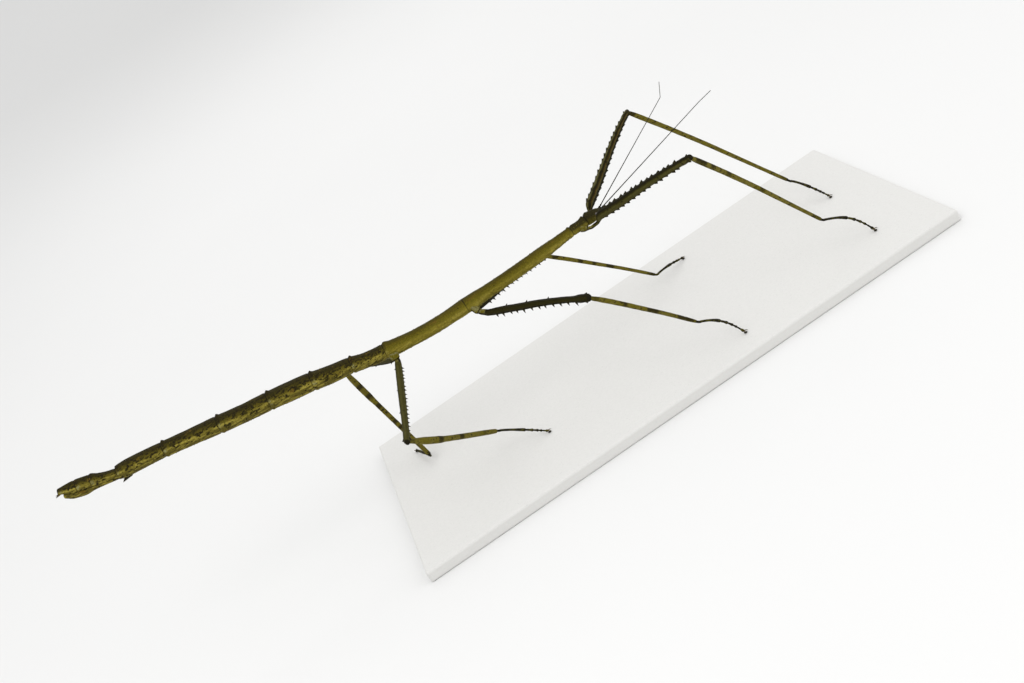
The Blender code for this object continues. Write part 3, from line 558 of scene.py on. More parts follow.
def body_rings(index, around=64):
    """Points and traits of one body piece as part of the one skin."""
    piece = BODY[index]
    at = body_stations(piece.length)
    centre, back = body_section(index, at)
    half_width, up, down, crest, knob = (size[:, None] for size in body_sizes(index, at))
    angle = round_angles(around)
    out, rise = np.cos(angle), np.sin(angle)
    below = rise < -1e-6
    boxy = FLAT_BELOW if piece.rings[0].down == TERGITE_FLOOR else 1.0
    out_share = np.where(below, np.sign(out) * np.abs(out) ** boxy, out)
    rise_share = np.where(below, -np.abs(rise) ** boxy, rise)
    height = rise_share * np.where(below, down, up) + crest * np.maximum(0, rise) ** 8
    breadth = out_share * half_width + np.sign(out) * knob * np.abs(out) ** 8
    grid = centre[:, None] + back[:, None] * height[..., None] + LEFTWARD * breadth[..., None]
    outward = back[:, None] * rise_share[:, None] + LEFTWARD * out_share[:, None]
    relief = body_relief(index, at[:, None], angle[None], grid[..., 0])
    grid = grid + outward * relief[..., None]
    from_front = at[:, None] + sum(other.length for other in BODY[:index])
    traits = {
        "rise": rise,
        "reach": from_front / BODY_LENGTH,
        "joint": hump(np.minimum(at, piece.length - at), 0.3)[:, None],
        "margin": hump(at - (piece.length - RING_LENGTH / 2), 0.9)[:, None],
        "abdomen": np.clip((sum(other.length for other in BODY[:4]) - 2 - from_front) / -4, 0, 1),
    }
    return grid, {trait: np.broadcast_to(values, grid.shape[:2]) for trait, values in traits.items()}


def body_skin(finish):
    """One skin from the neck to the tip of the abdomen."""
    grids, traits = zip(*(body_rings(index) for index in range(1, len(BODY))))
    grid = np.concatenate(grids)
    merged = {trait: np.concatenate([part[trait] for part in traits]) for trait in traits[0]}
    neck = PLACES[1] + (grid[0] - PLACES[1]) * 0.82 + np.array((0.9, 0, 0))
    tip = PLACES[-1] + (grid[-1] - PLACES[-1]) * 0.72 - np.array((0.35, 0, -0.1))
    grid = np.concatenate((neck[None], grid, tip[None]))
    merged = {trait: np.concatenate((values[:1], values, values[-1:])) for trait, values in merged.items()}
    return add_piece("body_skin", *tube(grid, merged), "cuticle_body", finish, NAMES[1:])


def on_body(index, at, turn):
    """Points on a body piece's surface at distances and angles round it, with their outward directions."""
    centre, back = body_section(index, at)
    half_width, up, down, _, _ = body_sizes(index, at)
    out, rise = np.cos(turn), np.sin(turn)
    tall = np.where(rise > 0, up, down)
    point = centre + back * (rise * tall)[..., None] + LEFTWARD * (out * half_width)[..., None]
    outward = unit(back * (rise / tall)[..., None] + LEFTWARD * (out / half_width)[..., None])
    return point, outward


def body_granules(sizes, finish):
    """Fine granules over the thorax and sparser ones on the abdomen."""
    dice = np.random.default_rng(5)
    shapes = []
    for name, count in GRANULES.items():
        index = NAMES.index(name)
        at = dice.uniform(1.4, BODY[index].length - 1.6, count)
        turn = dice.normal(-0.35, 0.8, count) + np.where(dice.random(count) < 0.5, 0, math.pi + 0.7)
        turn = np.where(np.cos(turn) < 0, math.pi - (turn - math.pi - 0.7), turn)
        point, outward = on_body(index, at, turn)
        size = sizes.granule / MM * dice.uniform(0.5, 1.25, count)
        along = np.broadcast_to(climb_axes(BODY[index].climb)[0], point.shape)
        shapes.append(spikes(point - outward * 0.06, outward, along, size * 0.62 + 0.06, size,
                             GRANULE_SHAPE, sides=6))
    return add_piece("body_granules", *joined(*shapes), "cuticle_body", finish)


def mesothorax_thorns(sizes, finish):
    """Two rows of small thorns low on the mesothorax, and the long spine before the operculum."""
    index = NAMES.index("mesothorax")
    roots, leans, heights = [], [], []
    for side in SIDES.values():
        for at, height in MESOTHORAX_THORNS:
            turn = math.radians(-90 + side * MESOTHORAX_THORN_TURN)
            point, outward = on_body(index, np.array(at), np.array(turn))
            roots.append(point - outward * THORN_SINK)
            leans.append(outward + climb_axes(BODY[index].climb)[0] * 0.15)
            heights.append(height + THORN_SINK)
    along = np.broadcast_to(np.array((-1.0, 0, 0)), (len(roots), 3))
    small = spikes(np.array(roots), np.array(leans), along, heights,
                   np.full(len(roots), MESOTHORAX_THORN_ROOT), THORN_SHAPE, bend=sizes.thorn_bend)
    index = NAMES.index("abdomen_7")
    centre, back = body_section(index, np.array(STERNUM_SPINE_AT))
    lean = math.radians(STERNUM_SPINE_LEAN)
    rearward = climb_axes(BODY[index].climb)[0]
    onward = rearward * math.cos(lean) - back * math.sin(lean)
    root = centre - back * (body_sizes(index, np.array(STERNUM_SPINE_AT))[2] - 1)
    spine = spikes(root[None], onward[None], rearward[None], np.array([STERNUM_SPINE_LENGTH]),
                   np.array([2 * STERNUM_SPINE_ROOT]), THORN_SHAPE, sides=16, thinness=0.8, bend=0.08)
    return add_piece("body_thorns", *joined(small, spine), "cuticle_body", finish)


def operculum(finish):
    """Boat-shaped plate under the last three segments, rimmed above and keeled below."""
    shares = np.linspace(0, OPERCULUM_RINGS[-1][0], 56)
    half_width = flowing([ring[:2] for ring in OPERCULUM_RINGS], shares)
    depth = flowing([(ring[0], ring[2]) for ring in OPERCULUM_RINGS], shares)
    places, climbs = np.array(PLACES[-4:]), np.array(CLIMBS[-4:])
    reach = shares * 3
    index = np.minimum(reach.astype(int), 2)
    part = (reach - index)[:, None]
    centre = places[index] * (1 - part) + places[index + 1] * part
    _, back = climb_axes(climbs[index] * (1 - part[:, 0]) + climbs[index + 1] * part[:, 0])
    top = centre - back * (TERGITE_FLOOR + 0.05)
    around = 40
    angle = round_angles(around)
    under = np.maximum(0, np.sin(angle))
    keel = 0.25 * hump(turn_between(angle, math.pi / 2), 0.16)
    rim = 0.16 * (hump(turn_between(angle, 0.12), 0.14) + hump(turn_between(angle, math.pi - 0.12), 0.14))
    ribs = 0.03 * np.sin(shares * 120)[:, None] * under[None] ** 2
    fall = under[None] * depth[:, None] + np.minimum(0, np.sin(angle))[None] * 0.25 + keel + ribs
    wide = np.cos(angle)[None] * half_width[:, None] + np.sign(np.cos(angle)) * rim
    grid = top[:, None] - back[:, None] * fall[..., None] + LEFTWARD * wide[..., None]
    heel = np.clip(1 - shares / 0.06, 0, 1)[:, None] * 0.6
    grid[..., 0] += heel * 0.4
    traits = {"rise": -0.2 - 0.8 * under, "reach": 0.93, "joint": hump(shares, 0.02)[:, None],
              "margin": hump(shares - shares[-1], 0.03)[:, None], "abdomen": 1}
    return add_piece("operculum_plate", *tube(grid, traits), "cuticle_body", finish, ["operculum"])


def cerci(finish):
    """Two leaf-slim cerci at the tail, each with a few bristles."""
    index = NAMES.index("abdomen_10")
    centre, back = body_section(index, np.array(CERCUS_AT))
    along = unit(climb_axes(BODY[index].climb)[0] - back * CERCUS_DROOP)
    roots = np.array([centre + LEFTWARD * side * CERCUS_OUT for side in SIDES.values()])
    leaves = spikes(roots, np.tile(along, (2, 1)), np.tile(LEFTWARD, (2, 1)), np.full(2, CERCUS_LENGTH),
                    np.full(2, 2 * CERCUS_ROOT), LEAF_SHAPE, sides=14, thinness=0.7)
    dice = np.random.default_rng(3)
    count = CERCUS_BRISTLES
    pick = dice.integers(0, 2, count)
    share = dice.uniform(0.35, 0.98, count)
    turn = dice.uniform(0, 2 * math.pi, count)
    side_way = np.cross(along, LEFTWARD)
    outward = LEFTWARD * np.cos(turn)[:, None] + side_way * np.sin(turn)[:, None]
    roots = roots[pick] + along * (share * CERCUS_LENGTH)[:, None] + outward * 0.3
    bristles = spikes(roots, outward + along * 1.2, np.tile(along, (count, 1)), dice.uniform(0.3, 0.6, count),
                      np.full(count, 0.07), HAIR_SHAPE, sides=3)
    return add_piece("cerci", *joined(leaves, bristles), "cuticle_body", finish)


def head_place(at, out, rise):
    """Point in the head, measured from the front joint of the prothorax forward."""
    rearward, back = climb_axes(BODY[0].climb)
    return PLACES[1] - rearward * at + back * rise + LEFTWARD * out


def head_skin(finish):
    """Head capsule with rimmed sockets for eyes and feelers, and grooves over its crown."""
    around = 72
    at = np.concatenate((np.linspace(-0.6, 0.9, 18)[:-1], np.linspace(0.9, 9.2, 64), [9.5]))
    angle = round_angles(around)
    centre, back = body_section(0, at)
    half_width, up, down, _, _ = (size[:, None] for size in body_sizes(0, at))
    blunt = np.sqrt(np.clip(1 - (np.minimum(at, 0) / 0.62) ** 2, 0.0, 1))
    neck = 1 - 0.25 * np.clip((at - 9.2) / 0.3, 0, 1)
    rise, out = np.sin(angle), np.cos(angle)
    height = rise * np.where(rise > 0, up, down) * (blunt * neck)[:, None]
    breadth = out * half_width * (blunt * neck)[:, None]
    grid = centre[:, None] + back[:, None] * height[..., None] + LEFTWARD * breadth[..., None]
    outward = unit(back[:, None] * rise[:, None] + LEFTWARD * out[:, None])
    body_of_head = np.clip((at + 0.2) / 1.0, 0, 1)[:, None]
    relief = 0.05 * waves(3, at[:, None] * 0.9, out[None] * 3, rise[None] * 3) * body_of_head
    for turn, depth in ((90, 0.12), (64, 0.07), (116, 0.07), (12, 0.06), (168, 0.06)):
        relief = relief - depth * near_turn(angle, turn, 0.07) * body_of_head
    for turn in (75, 105):
        for height, reach, place, length in ((0.22, 0.12, 7.6, 0.6), (0.16, 0.10, 4.2, 0.4)):
            relief = relief + height * near_turn(angle, turn, reach)[None] * hump(at - place, length)[:, None]
    face = 0 * relief
    for side in SIDES.values():
        eye = head_place(EYE_AT[0], side * EYE_AT[1], EYE_AT[2])
        away = np.linalg.norm(grid - eye, axis=-1)
        relief = relief + 0.22 * hump(away - EYE_RADIUS * 1.12, 0.22) - 0.1 * hump(away, 0.8)
        socket = head_place(ANTENNA_AT[0], side * ANTENNA_AT[1], ANTENNA_AT[2])
        away = np.linalg.norm(grid - socket, axis=-1)
        relief = relief + 0.16 * hump(away - SCAPE_RADIUS * 1.4, 0.2) - 0.15 * hump(away, 0.5)
        cheek = head_place(6.6, side * 2.6, -1.2)
        face = face + hump(np.linalg.norm(grid - cheek, axis=-1), 1.7)
    front = head_place(9.0, 0, -0.4)
    face = face + hump(np.linalg.norm(grid - front, axis=-1), 1.9)
    grid = grid + outward * relief[..., None]
    traits = {"rise": rise, "face": np.clip(face, 0, 1), "joint": hump(at - 9.3, 0.4)[:, None]}
    return add_piece("head_skin", *tube(grid, traits), "cuticle_dark", finish, ["head"])


def jointed_tube(path, radii, around=10):
    """Round tube of given radii along a path."""
    grid = limb_grid(path, radii, radii, 1, around)
    return tube(grid, {"tip": np.linspace(0, 1, len(path))[:, None]})


def mouthparts(finish):
    """Lip plate, jaws and two pairs of jointed palps under the front of the head."""
    forward = -climb_axes(BODY[0].climb)[0]
    lip = blobs(head_place(9.35, 0, -0.9)[None], forward[None] * 0.45, LEFTWARD[None] * 1.0,
                UP[None] * 0.75)
    shapes = [lip]
    for side in SIDES.values():
        jaw = head_place(9.0, side * 0.95, -1.35)
        shapes.append(blobs(jaw[None], forward[None] * 0.55, LEFTWARD[None] * 0.42, UP[None] * 0.62))
        for at, out, length, radius, spread in ((PALP_AT[0], PALP_AT[1], PALP_LENGTH, 0.27, 12),
                                                (PALP_AT[0] - 1.1, 0.5, PALP_LENGTH * 0.62, 0.22, 4)):
            root = head_place(at, side * out, PALP_AT[2] + 0.25)
            share = np.linspace(0, 1, 25)
            heading, lift = side * spread, -62 + 40 * share
            steps = np.array([direction(heading, angle) for angle in lift]) * (length + 0.25) / 24
            path = root + np.cumsum(steps, axis=0)
            joints = 4 if radius > 0.25 else 3
            swell = 0.78 + 0.3 * np.abs(np.sin(math.pi * share * joints)) ** 0.7
            radii = radius * swell * np.sqrt(np.clip(1 - (np.maximum(share - 0.9, 0) / 0.101) ** 2, 0.02, 1))
            shapes.append(jointed_tube(path, radii))
    return add_piece("mouthparts", *joined(*shapes), "cuticle_dark", finish)


def eyes(finish):
    """Two rounded eyes, a little flattened against the head."""
    for side_name, side in SIDES.items():
        centre = head_place(EYE_AT[0], side * EYE_AT[1], EYE_AT[2])
        forward = -climb_axes(BODY[0].climb)[0]
        shape = blobs(centre[None], LEFTWARD[None] * side * EYE_RADIUS * 0.96, forward[None] * EYE_RADIUS,
                      UP[None] * EYE_RADIUS * 0.97, rings=28, around=40)
        add_piece(side_name + "_eye", *shape, "eye", finish, ["eye_" + side_name])


def antenna_path(side_name, along):
    """Centre line of a feeler at distances from its sunk root, with the kink near its tip."""
    heading, lift, curl = FEELER_HOLD[side_name]
    root = head_place(ANTENNA_AT[0], SIDES[side_name] * ANTENNA_AT[1], ANTENNA_AT[2])
    straight, bent = direction(heading, lift), direction(heading, lift + curl)
    start = root - straight * ANTENNA_SINK
    kink = FEELER_KINK_AT * ANTENNA_LENGTH + 4.0
    before = np.minimum(along, kink)[:, None]
    after = np.maximum(along - kink, 0)[:, None]
    return start + straight * before + bent * after


def antennae(sizes, finish):
    """Scape, pedicel and a long ringed whip on each side."""
    scape_end = ANTENNA_SINK + SCAPE_LENGTH
    pedicel_end = scape_end + PEDICEL_LENGTH
    total = ANTENNA_LENGTH + ANTENNA_SINK
    whip = np.linspace(pedicel_end + 0.25, total, FEELER_RINGS * RING_STEPS + 1)
    share = (whip - whip[0]) / (whip[-1] - whip[0])
    step = np.arange(len(whip)) % RING_STEPS
    ringed = 1 + 0.16 * (step == RING_STEPS - 1) - 0.10 * (step == 0)
    first = ((0, 0.5), (0.5, 0.62), (1.6, 0.58), (2.7, 0.56), (2.95, 0.5), (scape_end, 0.3),
             (scape_end + 0.1, 0.3), (scape_end + 0.35, PEDICEL_RADIUS * 0.9),
             (scape_end + 0.9, PEDICEL_RADIUS), (pedicel_end, PEDICEL_RADIUS * 0.8),
             (pedicel_end + 0.12, 0.2))
    knots = np.linspace(0, pedicel_end + 0.12, 44)
    along = np.concatenate((knots, whip))
    thick = FEELER_RADIUS + (FEELER_TIP_RADIUS - FEELER_RADIUS) * share ** 0.8
    radii = np.concatenate((flowing(first, knots), thick * ringed))
    ring = np.concatenate((0 * knots, step == 0))
    for side_name in SIDES:
        path = antenna_path(side_name, along)
        grid = limb_grid(path, radii, radii * 0.92, 1, 10)
        shape = tube(grid, {"tip": (along / total)[:, None], "ring": ring[:, None]})
        hairs = feeler_hairs(side_name, sizes)
        add_piece(side_name + "_feeler", *joined(shape, hairs), "antenna", finish, ["antenna_" + side_name])


def feeler_hairs(side_name, sizes):
    """Short hairs that lean towards the feeler's tip."""
    dice = np.random.default_rng(7 if side_name == "left" else 8)
    count = FEELER_HAIRS
    along = np.sort(dice.uniform(6, ANTENNA_LENGTH, count))
    path = antenna_path(side_name, along)
    onward = unit(antenna_path(side_name, along + 0.5) - path)
    away = unit(np.cross(onward, UP))
    other = np.cross(onward, away)
    turn = dice.uniform(0, 2 * math.pi, count)
    outward = away * np.cos(turn)[:, None] + other * np.sin(turn)[:, None]
    length = sizes.hair / MM * dice.uniform(0.4, 0.8, count)
    points, faces, traits = spikes(path + outward * 0.1, outward + onward * 1.3, onward, length,
                                   np.full(count, 0.04), HAIR_SHAPE, sides=3)
    traits["ring"] = np.zeros(len(points))
    return points, faces, traits


def leg_parts(name):
    """Pair, table, hold and side of one leg."""
    pair, side_name = name.split("_")
    return pair, LEGS[pair], HOLDS[name], SIDES[side_name]


def leg_places(name):
    """Coxa root, and the corners at the hip, knee, ankle and foot of one leg."""
    _, leg, hold, side = leg_parts(name)
    root_out = leg.coxa_root / 2 + 2 * GAP
    hip = body_centre(leg.hip_at) + np.array((0, side * HIP_OUT, -leg.hip_down))
    coxa_root = body_centre(leg.hip_at - leg.coxa_lean) + np.array((0, side * root_out, -COXA_ROOT_DOWN))
    knee = hip + direction(hold.femur_heading, hold.femur_lift) * leg.femur[-1][0]
    tibia_length = leg.tibia[-1][0]
    drop = knee[2] - (SOLE_LEVEL + hold.ankle_height)
    ankle = knee + direction(hold.tibia_heading, -math.degrees(math.asin(drop / tibia_length))) * tibia_length
    fall = hold.ankle_height - TARSUS_FLARE
    flat = math.sqrt(leg.tarsus ** 2 - fall ** 2)
    foot = ankle + direction(hold.tarsus_heading, 0) * flat - UP * fall
    return coxa_root, hip, knee, ankle, foot


def elbow(corner, arriving, onward, turn):
    """Points that turn round a corner, from a turn before it to a turn after it."""
    share = np.linspace(0, 1, 12)[:-1, None]
    start, after = corner - arriving * turn, corner + onward * turn
    rest = 1 - share
    return (start * rest + corner * share) * rest + (corner * rest + after * share) * share


def limb_axis(corner, end, at, bow):
    """Centres of a leg piece at distances from its root corner, with its bow, and the way up from it."""
    onward = unit(end - corner)
    back = unit(UP - onward * UP.dot(onward))
    at = np.asarray(at, float)
    return corner + onward * at[..., None] + back * flowing(bow, at)[..., None], back


def leg_path(corner, arriving, end, turns, length, bow):
    """Centre line of a leg piece and the distance of each point from the corner."""
    start_turn, end_turn = turns
    onward = unit(end - corner)
    bend = elbow(corner, arriving, onward, start_turn)
    last = length - end_turn + 0.3
    at = np.linspace(start_turn, last, int((last - start_turn) / PATH_STEP))
    path, _ = limb_axis(corner, end, at, bow)
    straight = corner + onward * at[:, None]
    path = straight + (path - straight) * np.clip((at - start_turn) / 2, 0, 1)[:, None]
    rounding = np.array((last + 0.12, last + 0.2))
    tail = path[-1] + onward * (rounding - last)[:, None]
    path = np.concatenate((bend, path, tail))
    return path, np.concatenate(((bend - corner) @ onward, at, rounding)), last


def end_rounding(at, last):
    """Shrink of the last rings, which closes a limb with a rounded rim."""
    return np.sqrt(np.clip(1 - np.clip((at - last + 0.28) / 0.5, 0, 0.97) ** 2, 0.03, 1))


def coxae(finishes):
    """Hip pieces: a coxa with swollen base and a small ring of a trochanter."""
    for name in HOLDS:
        pair, leg, _, side = leg_parts(name)
        root, hip, _, _, _ = leg_places(name)
        along = unit(hip - root)
        length = float(np.linalg.norm(hip - root)) - HIP_TURN + 0.35
        at = np.linspace(-0.3, length, 40)
        path = root + along * at[:, None]
        wide, tip = leg.coxa_root, leg.coxa_tip
        thick = flowing(((-0.3, wide * 0.96), (length * 0.4, wide), (length * 0.72, tip * 1.16),
                         (length - 0.75, tip * 1.12), (length - 0.5, tip * 0.97), (length - 0.3, tip * 1.06),
                         (length, tip * 0.8)), at) / 2
        around = 36
        angle = round_angles(around)
        folds = keels(angle, (40, 130, 220, 320), 0, 0.10, 0.22) * hump(at - length * 0.45, 1.8)[:, None]
        relief = 0.07 * waves(21, at[:, None], np.cos(angle) * 2, np.sin(angle) * 2) + folds
        grid = limb_grid(path, thick, thick, side, around, relief)
        joint = hump(at - (length - 0.5), 0.22)
        shape = tube(grid, {"rise": np.cos(angle), "joint": joint[:, None]})
        slot = "cuticle_dark" if pair == "fore" else "cuticle_body"
        add_piece("hip_" + name, *shape, slot, finishes["hip"], ["coxa_" + name])


def femur_shape(name):
    """Points, faces and traits of a femur, whose end caps the knee with pointed lobes."""
    pair, leg, hold, side = leg_parts(name)
    root, hip, knee, _, _ = leg_places(name)
    length = leg.femur[-1][0]
    path, at, last = leg_path(hip, unit(hip - root), knee, (HIP_TURN, -KNEE_CAP), length, hold.femur_bow)
    thick = flowing(leg.femur, np.maximum(at, 0)) * end_rounding(at, last) / 2
    around = 48
    angle = round_angles(around)
    shaft = np.clip((at - 5) / 7, 0, 1) * np.clip((last - 1.5 - at) / 5, 0, 1)
    keel = keels(angle, FEMUR_KEELS[pair], hold.roll, 0.2, 0.13) * shaft[:, None]
    grooves = -0.05 * np.cos(angle * 6) * shaft[:, None]
    lobes = keels(angle, KNEE_LOBES[pair], hold.roll, 0.25, 0.4) * hump(at - last + 1.3, 1.2)[:, None]
    lumps = 0.035 * waves(31, at[:, None] * 0.8, np.cos(angle) * 2, np.sin(angle) * 2)
    relief = keel + grooves + lobes + lumps * np.clip(at / 2, 0, 1)[:, None]
    grid = limb_grid(path, thick, thick / FEMUR_DEPTH_TO_WIDTH, side, around, relief)
    return tube(grid, {"edge": np.cos(angle - math.radians(UPPER_EDGES[name])),
                       "ridge": keels(angle, FEMUR_KEELS[pair], hold.roll, 1.0, 0.1) * shaft[:, None],
                       "joint": hump(at - last + 0.2, 0.7)[:, None],
                       "root": np.clip((3.4 - at) / 0.8, 0, 1)[:, None]})


def femur_thorns(name, sizes):
    """Thorns of a femur at the solids' places, with finer ones between them."""
    pair, leg, hold, side = leg_parts(name)
    _, hip, knee, _, _ = leg_places(name)
    onward = unit(knee - hip)
    dice = random.Random(name)
    fine = random.Random(name + " fine")
    places = []
    for row in THORNS[pair]:
        step_length = (row.end - row.start) / max(1, row.count - 1)
        for step in range(row.count):
            at = row.start + step_length * step + dice.uniform(-THORN_STRAY, THORN_STRAY)
            height = row.height * dice.uniform(*THORN_HEIGHTS)
            places.append((at, row.angle, height * THORN_GROWTH[name], row.root * THORN_BREADTH[pair]))
            if row.count > 4:
                places.append((at + step_length * fine.uniform(0.35, 0.65), row.angle + fine.uniform(-8, 8),
                               row.height * fine.uniform(0.25, 0.5), row.root * 0.5))
    for turn in KNEE_LOBES[pair]:
        places.append((leg.femur[-1][0] - 1.3, turn, 1.0, 2.2))
    for turn in FEMUR_KEELS[pair]:
        for _ in range(KEEL_THORNS):
            places.append((fine.uniform(9, leg.femur[-1][0] - 5), turn + fine.uniform(-5, 5),
                           fine.uniform(0.1, 0.24), 0.26))
    at, turn, height, width = (np.array(column) for column in zip(*places))
    centre, back = limb_axis(hip, knee, at, hold.femur_bow)
    angle = np.radians(turn + hold.roll)
    flank = np.cross(onward, back) * side
    outward = back * np.cos(angle)[:, None] + flank * np.sin(angle)[:, None]
    depth = flowing(leg.femur, at) / 2
    across = depth / FEMUR_DEPTH_TO_WIDTH
    reach = depth * across / np.hypot(across * np.cos(angle), depth * np.sin(angle))
    lean = unit(outward + onward * THORN_LEAN)
    big = height > 0.3
    root = centre + outward * (reach * THORN_REACH)[:, None] - lean * np.where(big, 0.3, 0.05)[:, None]
    shape, thinness = (TOOTH_SHAPE, 0.5) if pair == "fore" else (THORN_SHAPE, 0.9)
    return spikes(root, lean, np.broadcast_to(onward, root.shape), height + np.where(big, 0.3, 0.2), width,
                  shape, thinness=thinness, bend=sizes.thorn_bend)


def leg_hairs(name, corner, end, profile, bow, sizes, count):
    """Fine hairs over a leg piece, leaning towards its end."""
    dice = np.random.default_rng(sum(map(ord, name)))
    at = dice.uniform(4, profile[-1][0] - 3, count)
    turn = dice.uniform(0, 2 * math.pi, count)
    centre, back = limb_axis(corner, end, at, bow)
    onward = unit(end - corner)
    outward = back * np.cos(turn)[:, None] + np.cross(onward, back) * np.sin(turn)[:, None]
    root = centre + outward * (flowing(profile, at) / 2 * 0.88)[:, None]
    length = sizes.hair / MM * dice.uniform(0.5, 1.3, count) + 0.12
    return spikes(root, outward + onward * 1.1, np.broadcast_to(onward, root.shape), length,
                  np.full(count, 0.055), HAIR_SHAPE, sides=3, bend=0.3)


def femora(sizes, finishes):
    """Keeled femora, their thorns and their fine hairs."""
    for name in HOLDS:
        _, leg, hold, _ = leg_parts(name)
        _, hip, knee, _, _ = leg_places(name)
        add_piece("femur_skin_" + name, *femur_shape(name), "cuticle_femur", finishes["femora"][name],
                  ["femur_" + name])
        add_piece("femur_thorns_" + name, *femur_thorns(name, sizes), "cuticle_femur", finishes["thorn"])
        hairs = leg_hairs(name, hip, knee, leg.femur, hold.femur_bow, sizes, FEMUR_HAIRS)
        add_piece("femur_hairs_" + name, *hairs, "cuticle_femur", finishes["thorn"])


def band_strength(name, at):
    """How dark the bands of a tibia are at distances from the knee."""
    total = 0
    for band in BANDS[name]:
        edge = np.clip((band.reach - np.abs(at - band.at)) / 1.7 + 0.5, 0, 1)
        total = np.maximum(total, band.dark * edge * edge * (3 - 2 * edge))
    return total


def tibiae(sizes, finishes):
    """Slim keeled tibiae with dark bands, fine spines below and hairs."""
    around = 36
    angle = round_angles(around)
    for name in HOLDS:
        _, leg, _, side = leg_parts(name)
        _, hip, knee, ankle, _ = leg_places(name)
        path, at, last = leg_path(knee, unit(knee - hip), ankle, (KNEE_TURN, ANKLE_TURN), leg.tibia[-1][0],
                                  leg.tibia_bow)
        thick = flowing(leg.tibia, np.maximum(at, 0)) * end_rounding(at, last) / 2
        shaft = np.clip((at - 3) / 5, 0, 1) * np.clip((last - 1 - at) / 4, 0, 1)
        keel = keels(angle, TIBIA_KEELS, 0, 0.11, 0.16) * shaft[:, None]
        lumps = 0.03 * waves(41, at[:, None] * 0.7, np.cos(angle) * 2, np.sin(angle) * 2)
        relief = keel + lumps * np.clip(at / 2, 0, 1)[:, None]
        grid = limb_grid(path, thick, thick, side, around, relief)
        traits = {"back": np.cos(angle), "band": band_strength(name, at)[:, None],
                  "joint": (hump(at - last + 0.2, 0.6) + hump(at + 0.5, 1.2))[:, None]}
        add_piece("tibia_skin_" + name, *tube(grid, traits), "cuticle_tibia", finishes["tibia"],
                  ["tibia_" + name])
        hairs = leg_hairs("t" + name, knee, ankle, leg.tibia, leg.tibia_bow, sizes, TIBIA_HAIRS)
        spurs = tibia_spines(name, knee, ankle, leg, side)
        add_piece("tibia_hairs_" + name, *joined(hairs, spurs), "cuticle_tibia", finishes["thorn"])


def tibia_spines(name, knee, ankle, leg, side):
    """Short spines along the lower keels of a tibia."""
    dice = np.random.default_rng(sum(map(ord, name)) + 1)
    count = TIBIA_SPINES
    at = np.linspace(9, leg.tibia[-1][0] - 5, count) + dice.uniform(-0.6, 0.6, count)
    turn = np.radians(np.where(np.arange(count) % 2 == 0, 122, 238))
    centre, back = limb_axis(knee, ankle, at, leg.tibia_bow)
    onward = unit(ankle - knee)
    flank = np.cross(onward, back) * side
    outward = back * np.cos(turn)[:, None] + flank * np.sin(turn)[:, None]
    root = centre + outward * (flowing(leg.tibia, at) / 2)[:, None]
    return spikes(root, outward + onward * 0.7, np.broadcast_to(onward, root.shape),
                  dice.uniform(0.22, 0.4, count), np.full(count, 0.24), THORN_SHAPE, sides=6)


def tarsus_place(ankle, foot, arch, share):
    """Points along a foot that arches down from the ankle to the floor."""
    share = np.asarray(share, float)
    flat = ankle + (foot - ankle) * share[..., None]
    flat[..., 2] = foot[2] + (ankle[2] - foot[2]) * (1 - share ** arch)
    return flat


def tarsus_radii(share):
    """Half thickness along a foot: each of the five joints widens to its end."""
    knots = []
    for index, (first, last) in enumerate(zip(TARSOMERE_ENDS, TARSOMERE_ENDS[1:])):
        slim = 1 - 0.08 * index
        wide = TARSUS_FLARE * (slim if last < 1 else 0.9)
        knots += [(first + 0.004, 0.42 * slim), (first + 0.02, TARSUS_ROOT * slim),
                  ((first + last) / 2, TARSUS_ROOT * slim), (last - 0.02, wide), (last - 0.006, wide * 0.85)]
    return flowing(knots, share)


def tarsi(finishes):
    """Five-jointed feet with soles, hooked claws and the pad between them."""
    around = 28
    angle = round_angles(around)
    for name, hold in HOLDS.items():
        side = leg_parts(name)[3]
        _, _, knee, ankle, foot = leg_places(name)
        arriving = unit(ankle - knee)
        ahead = tarsus_place(ankle, foot, hold.tarsus_arch, np.array(TARSOMERE_ENDS[1]))
        bend = elbow(ankle, arriving, unit(ahead - ankle), ANKLE_TURN)
        first = ANKLE_TURN / float(np.linalg.norm(foot - ankle))
        share = np.linspace(first, 1.0, 150)
        path = np.concatenate((bend, tarsus_place(ankle, foot, hold.tarsus_arch, share)))
        radii = np.concatenate((np.full(len(bend), TARSUS_ROOT), tarsus_radii(share)))
        radii[-3:] *= (0.9, 0.7, 0.4)
        furrow = -0.05 * hump(turn_between(angle, math.pi), 0.3)
        grid = limb_grid(path, radii, radii * 1.04, side, around, furrow[None])
        joint = np.zeros(len(share))
        for end in TARSOMERE_ENDS[1:-1]:
            joint = joint + hump(share - end, 0.01)
        joint = np.concatenate((np.ones(len(bend)) * 0.3, joint))
        add_piece("foot_" + name, *tube(grid, {"joint": joint[:, None]}), "cuticle_tarsus",
                  finishes["tarsus"], ["tarsus_" + name])
        add_piece("claws_" + name, *foot_claws(ankle, foot), "cuticle_tarsus", finishes["claw"])
        add_piece("soles_" + name, *foot_soles(ankle, foot, hold), "cuticle_tarsus", finishes["sole"])


def foot_claws(ankle, foot):
    """Two hooked claws."""
    onward = unit((foot - ankle) * np.array((1, 1, 0)))
    heading = math.degrees(math.atan2(onward[1], onward[0]))
    share = np.linspace(0, 1, 18)
    shapes = []
    for spread in (-CLAW_SPREAD, CLAW_SPREAD):
        turn = heading + spread * (1 - 0.5 * share)
        lift = 22 - 62 * share ** 1.3
        steps = np.array([direction(*pair) for pair in zip(turn, lift)]) * (CLAW_LENGTH + 0.5) / len(share)
        path = foot - onward * 0.4 + np.cumsum(steps, axis=0)
        path[:, 2] = np.maximum(path[:, 2], BASE_TOP + 0.1)
        shapes.append(jointed_tube(path, CLAW_ROOT * (1 - share) ** 0.7 + 0.035))
    return joined(*shapes)


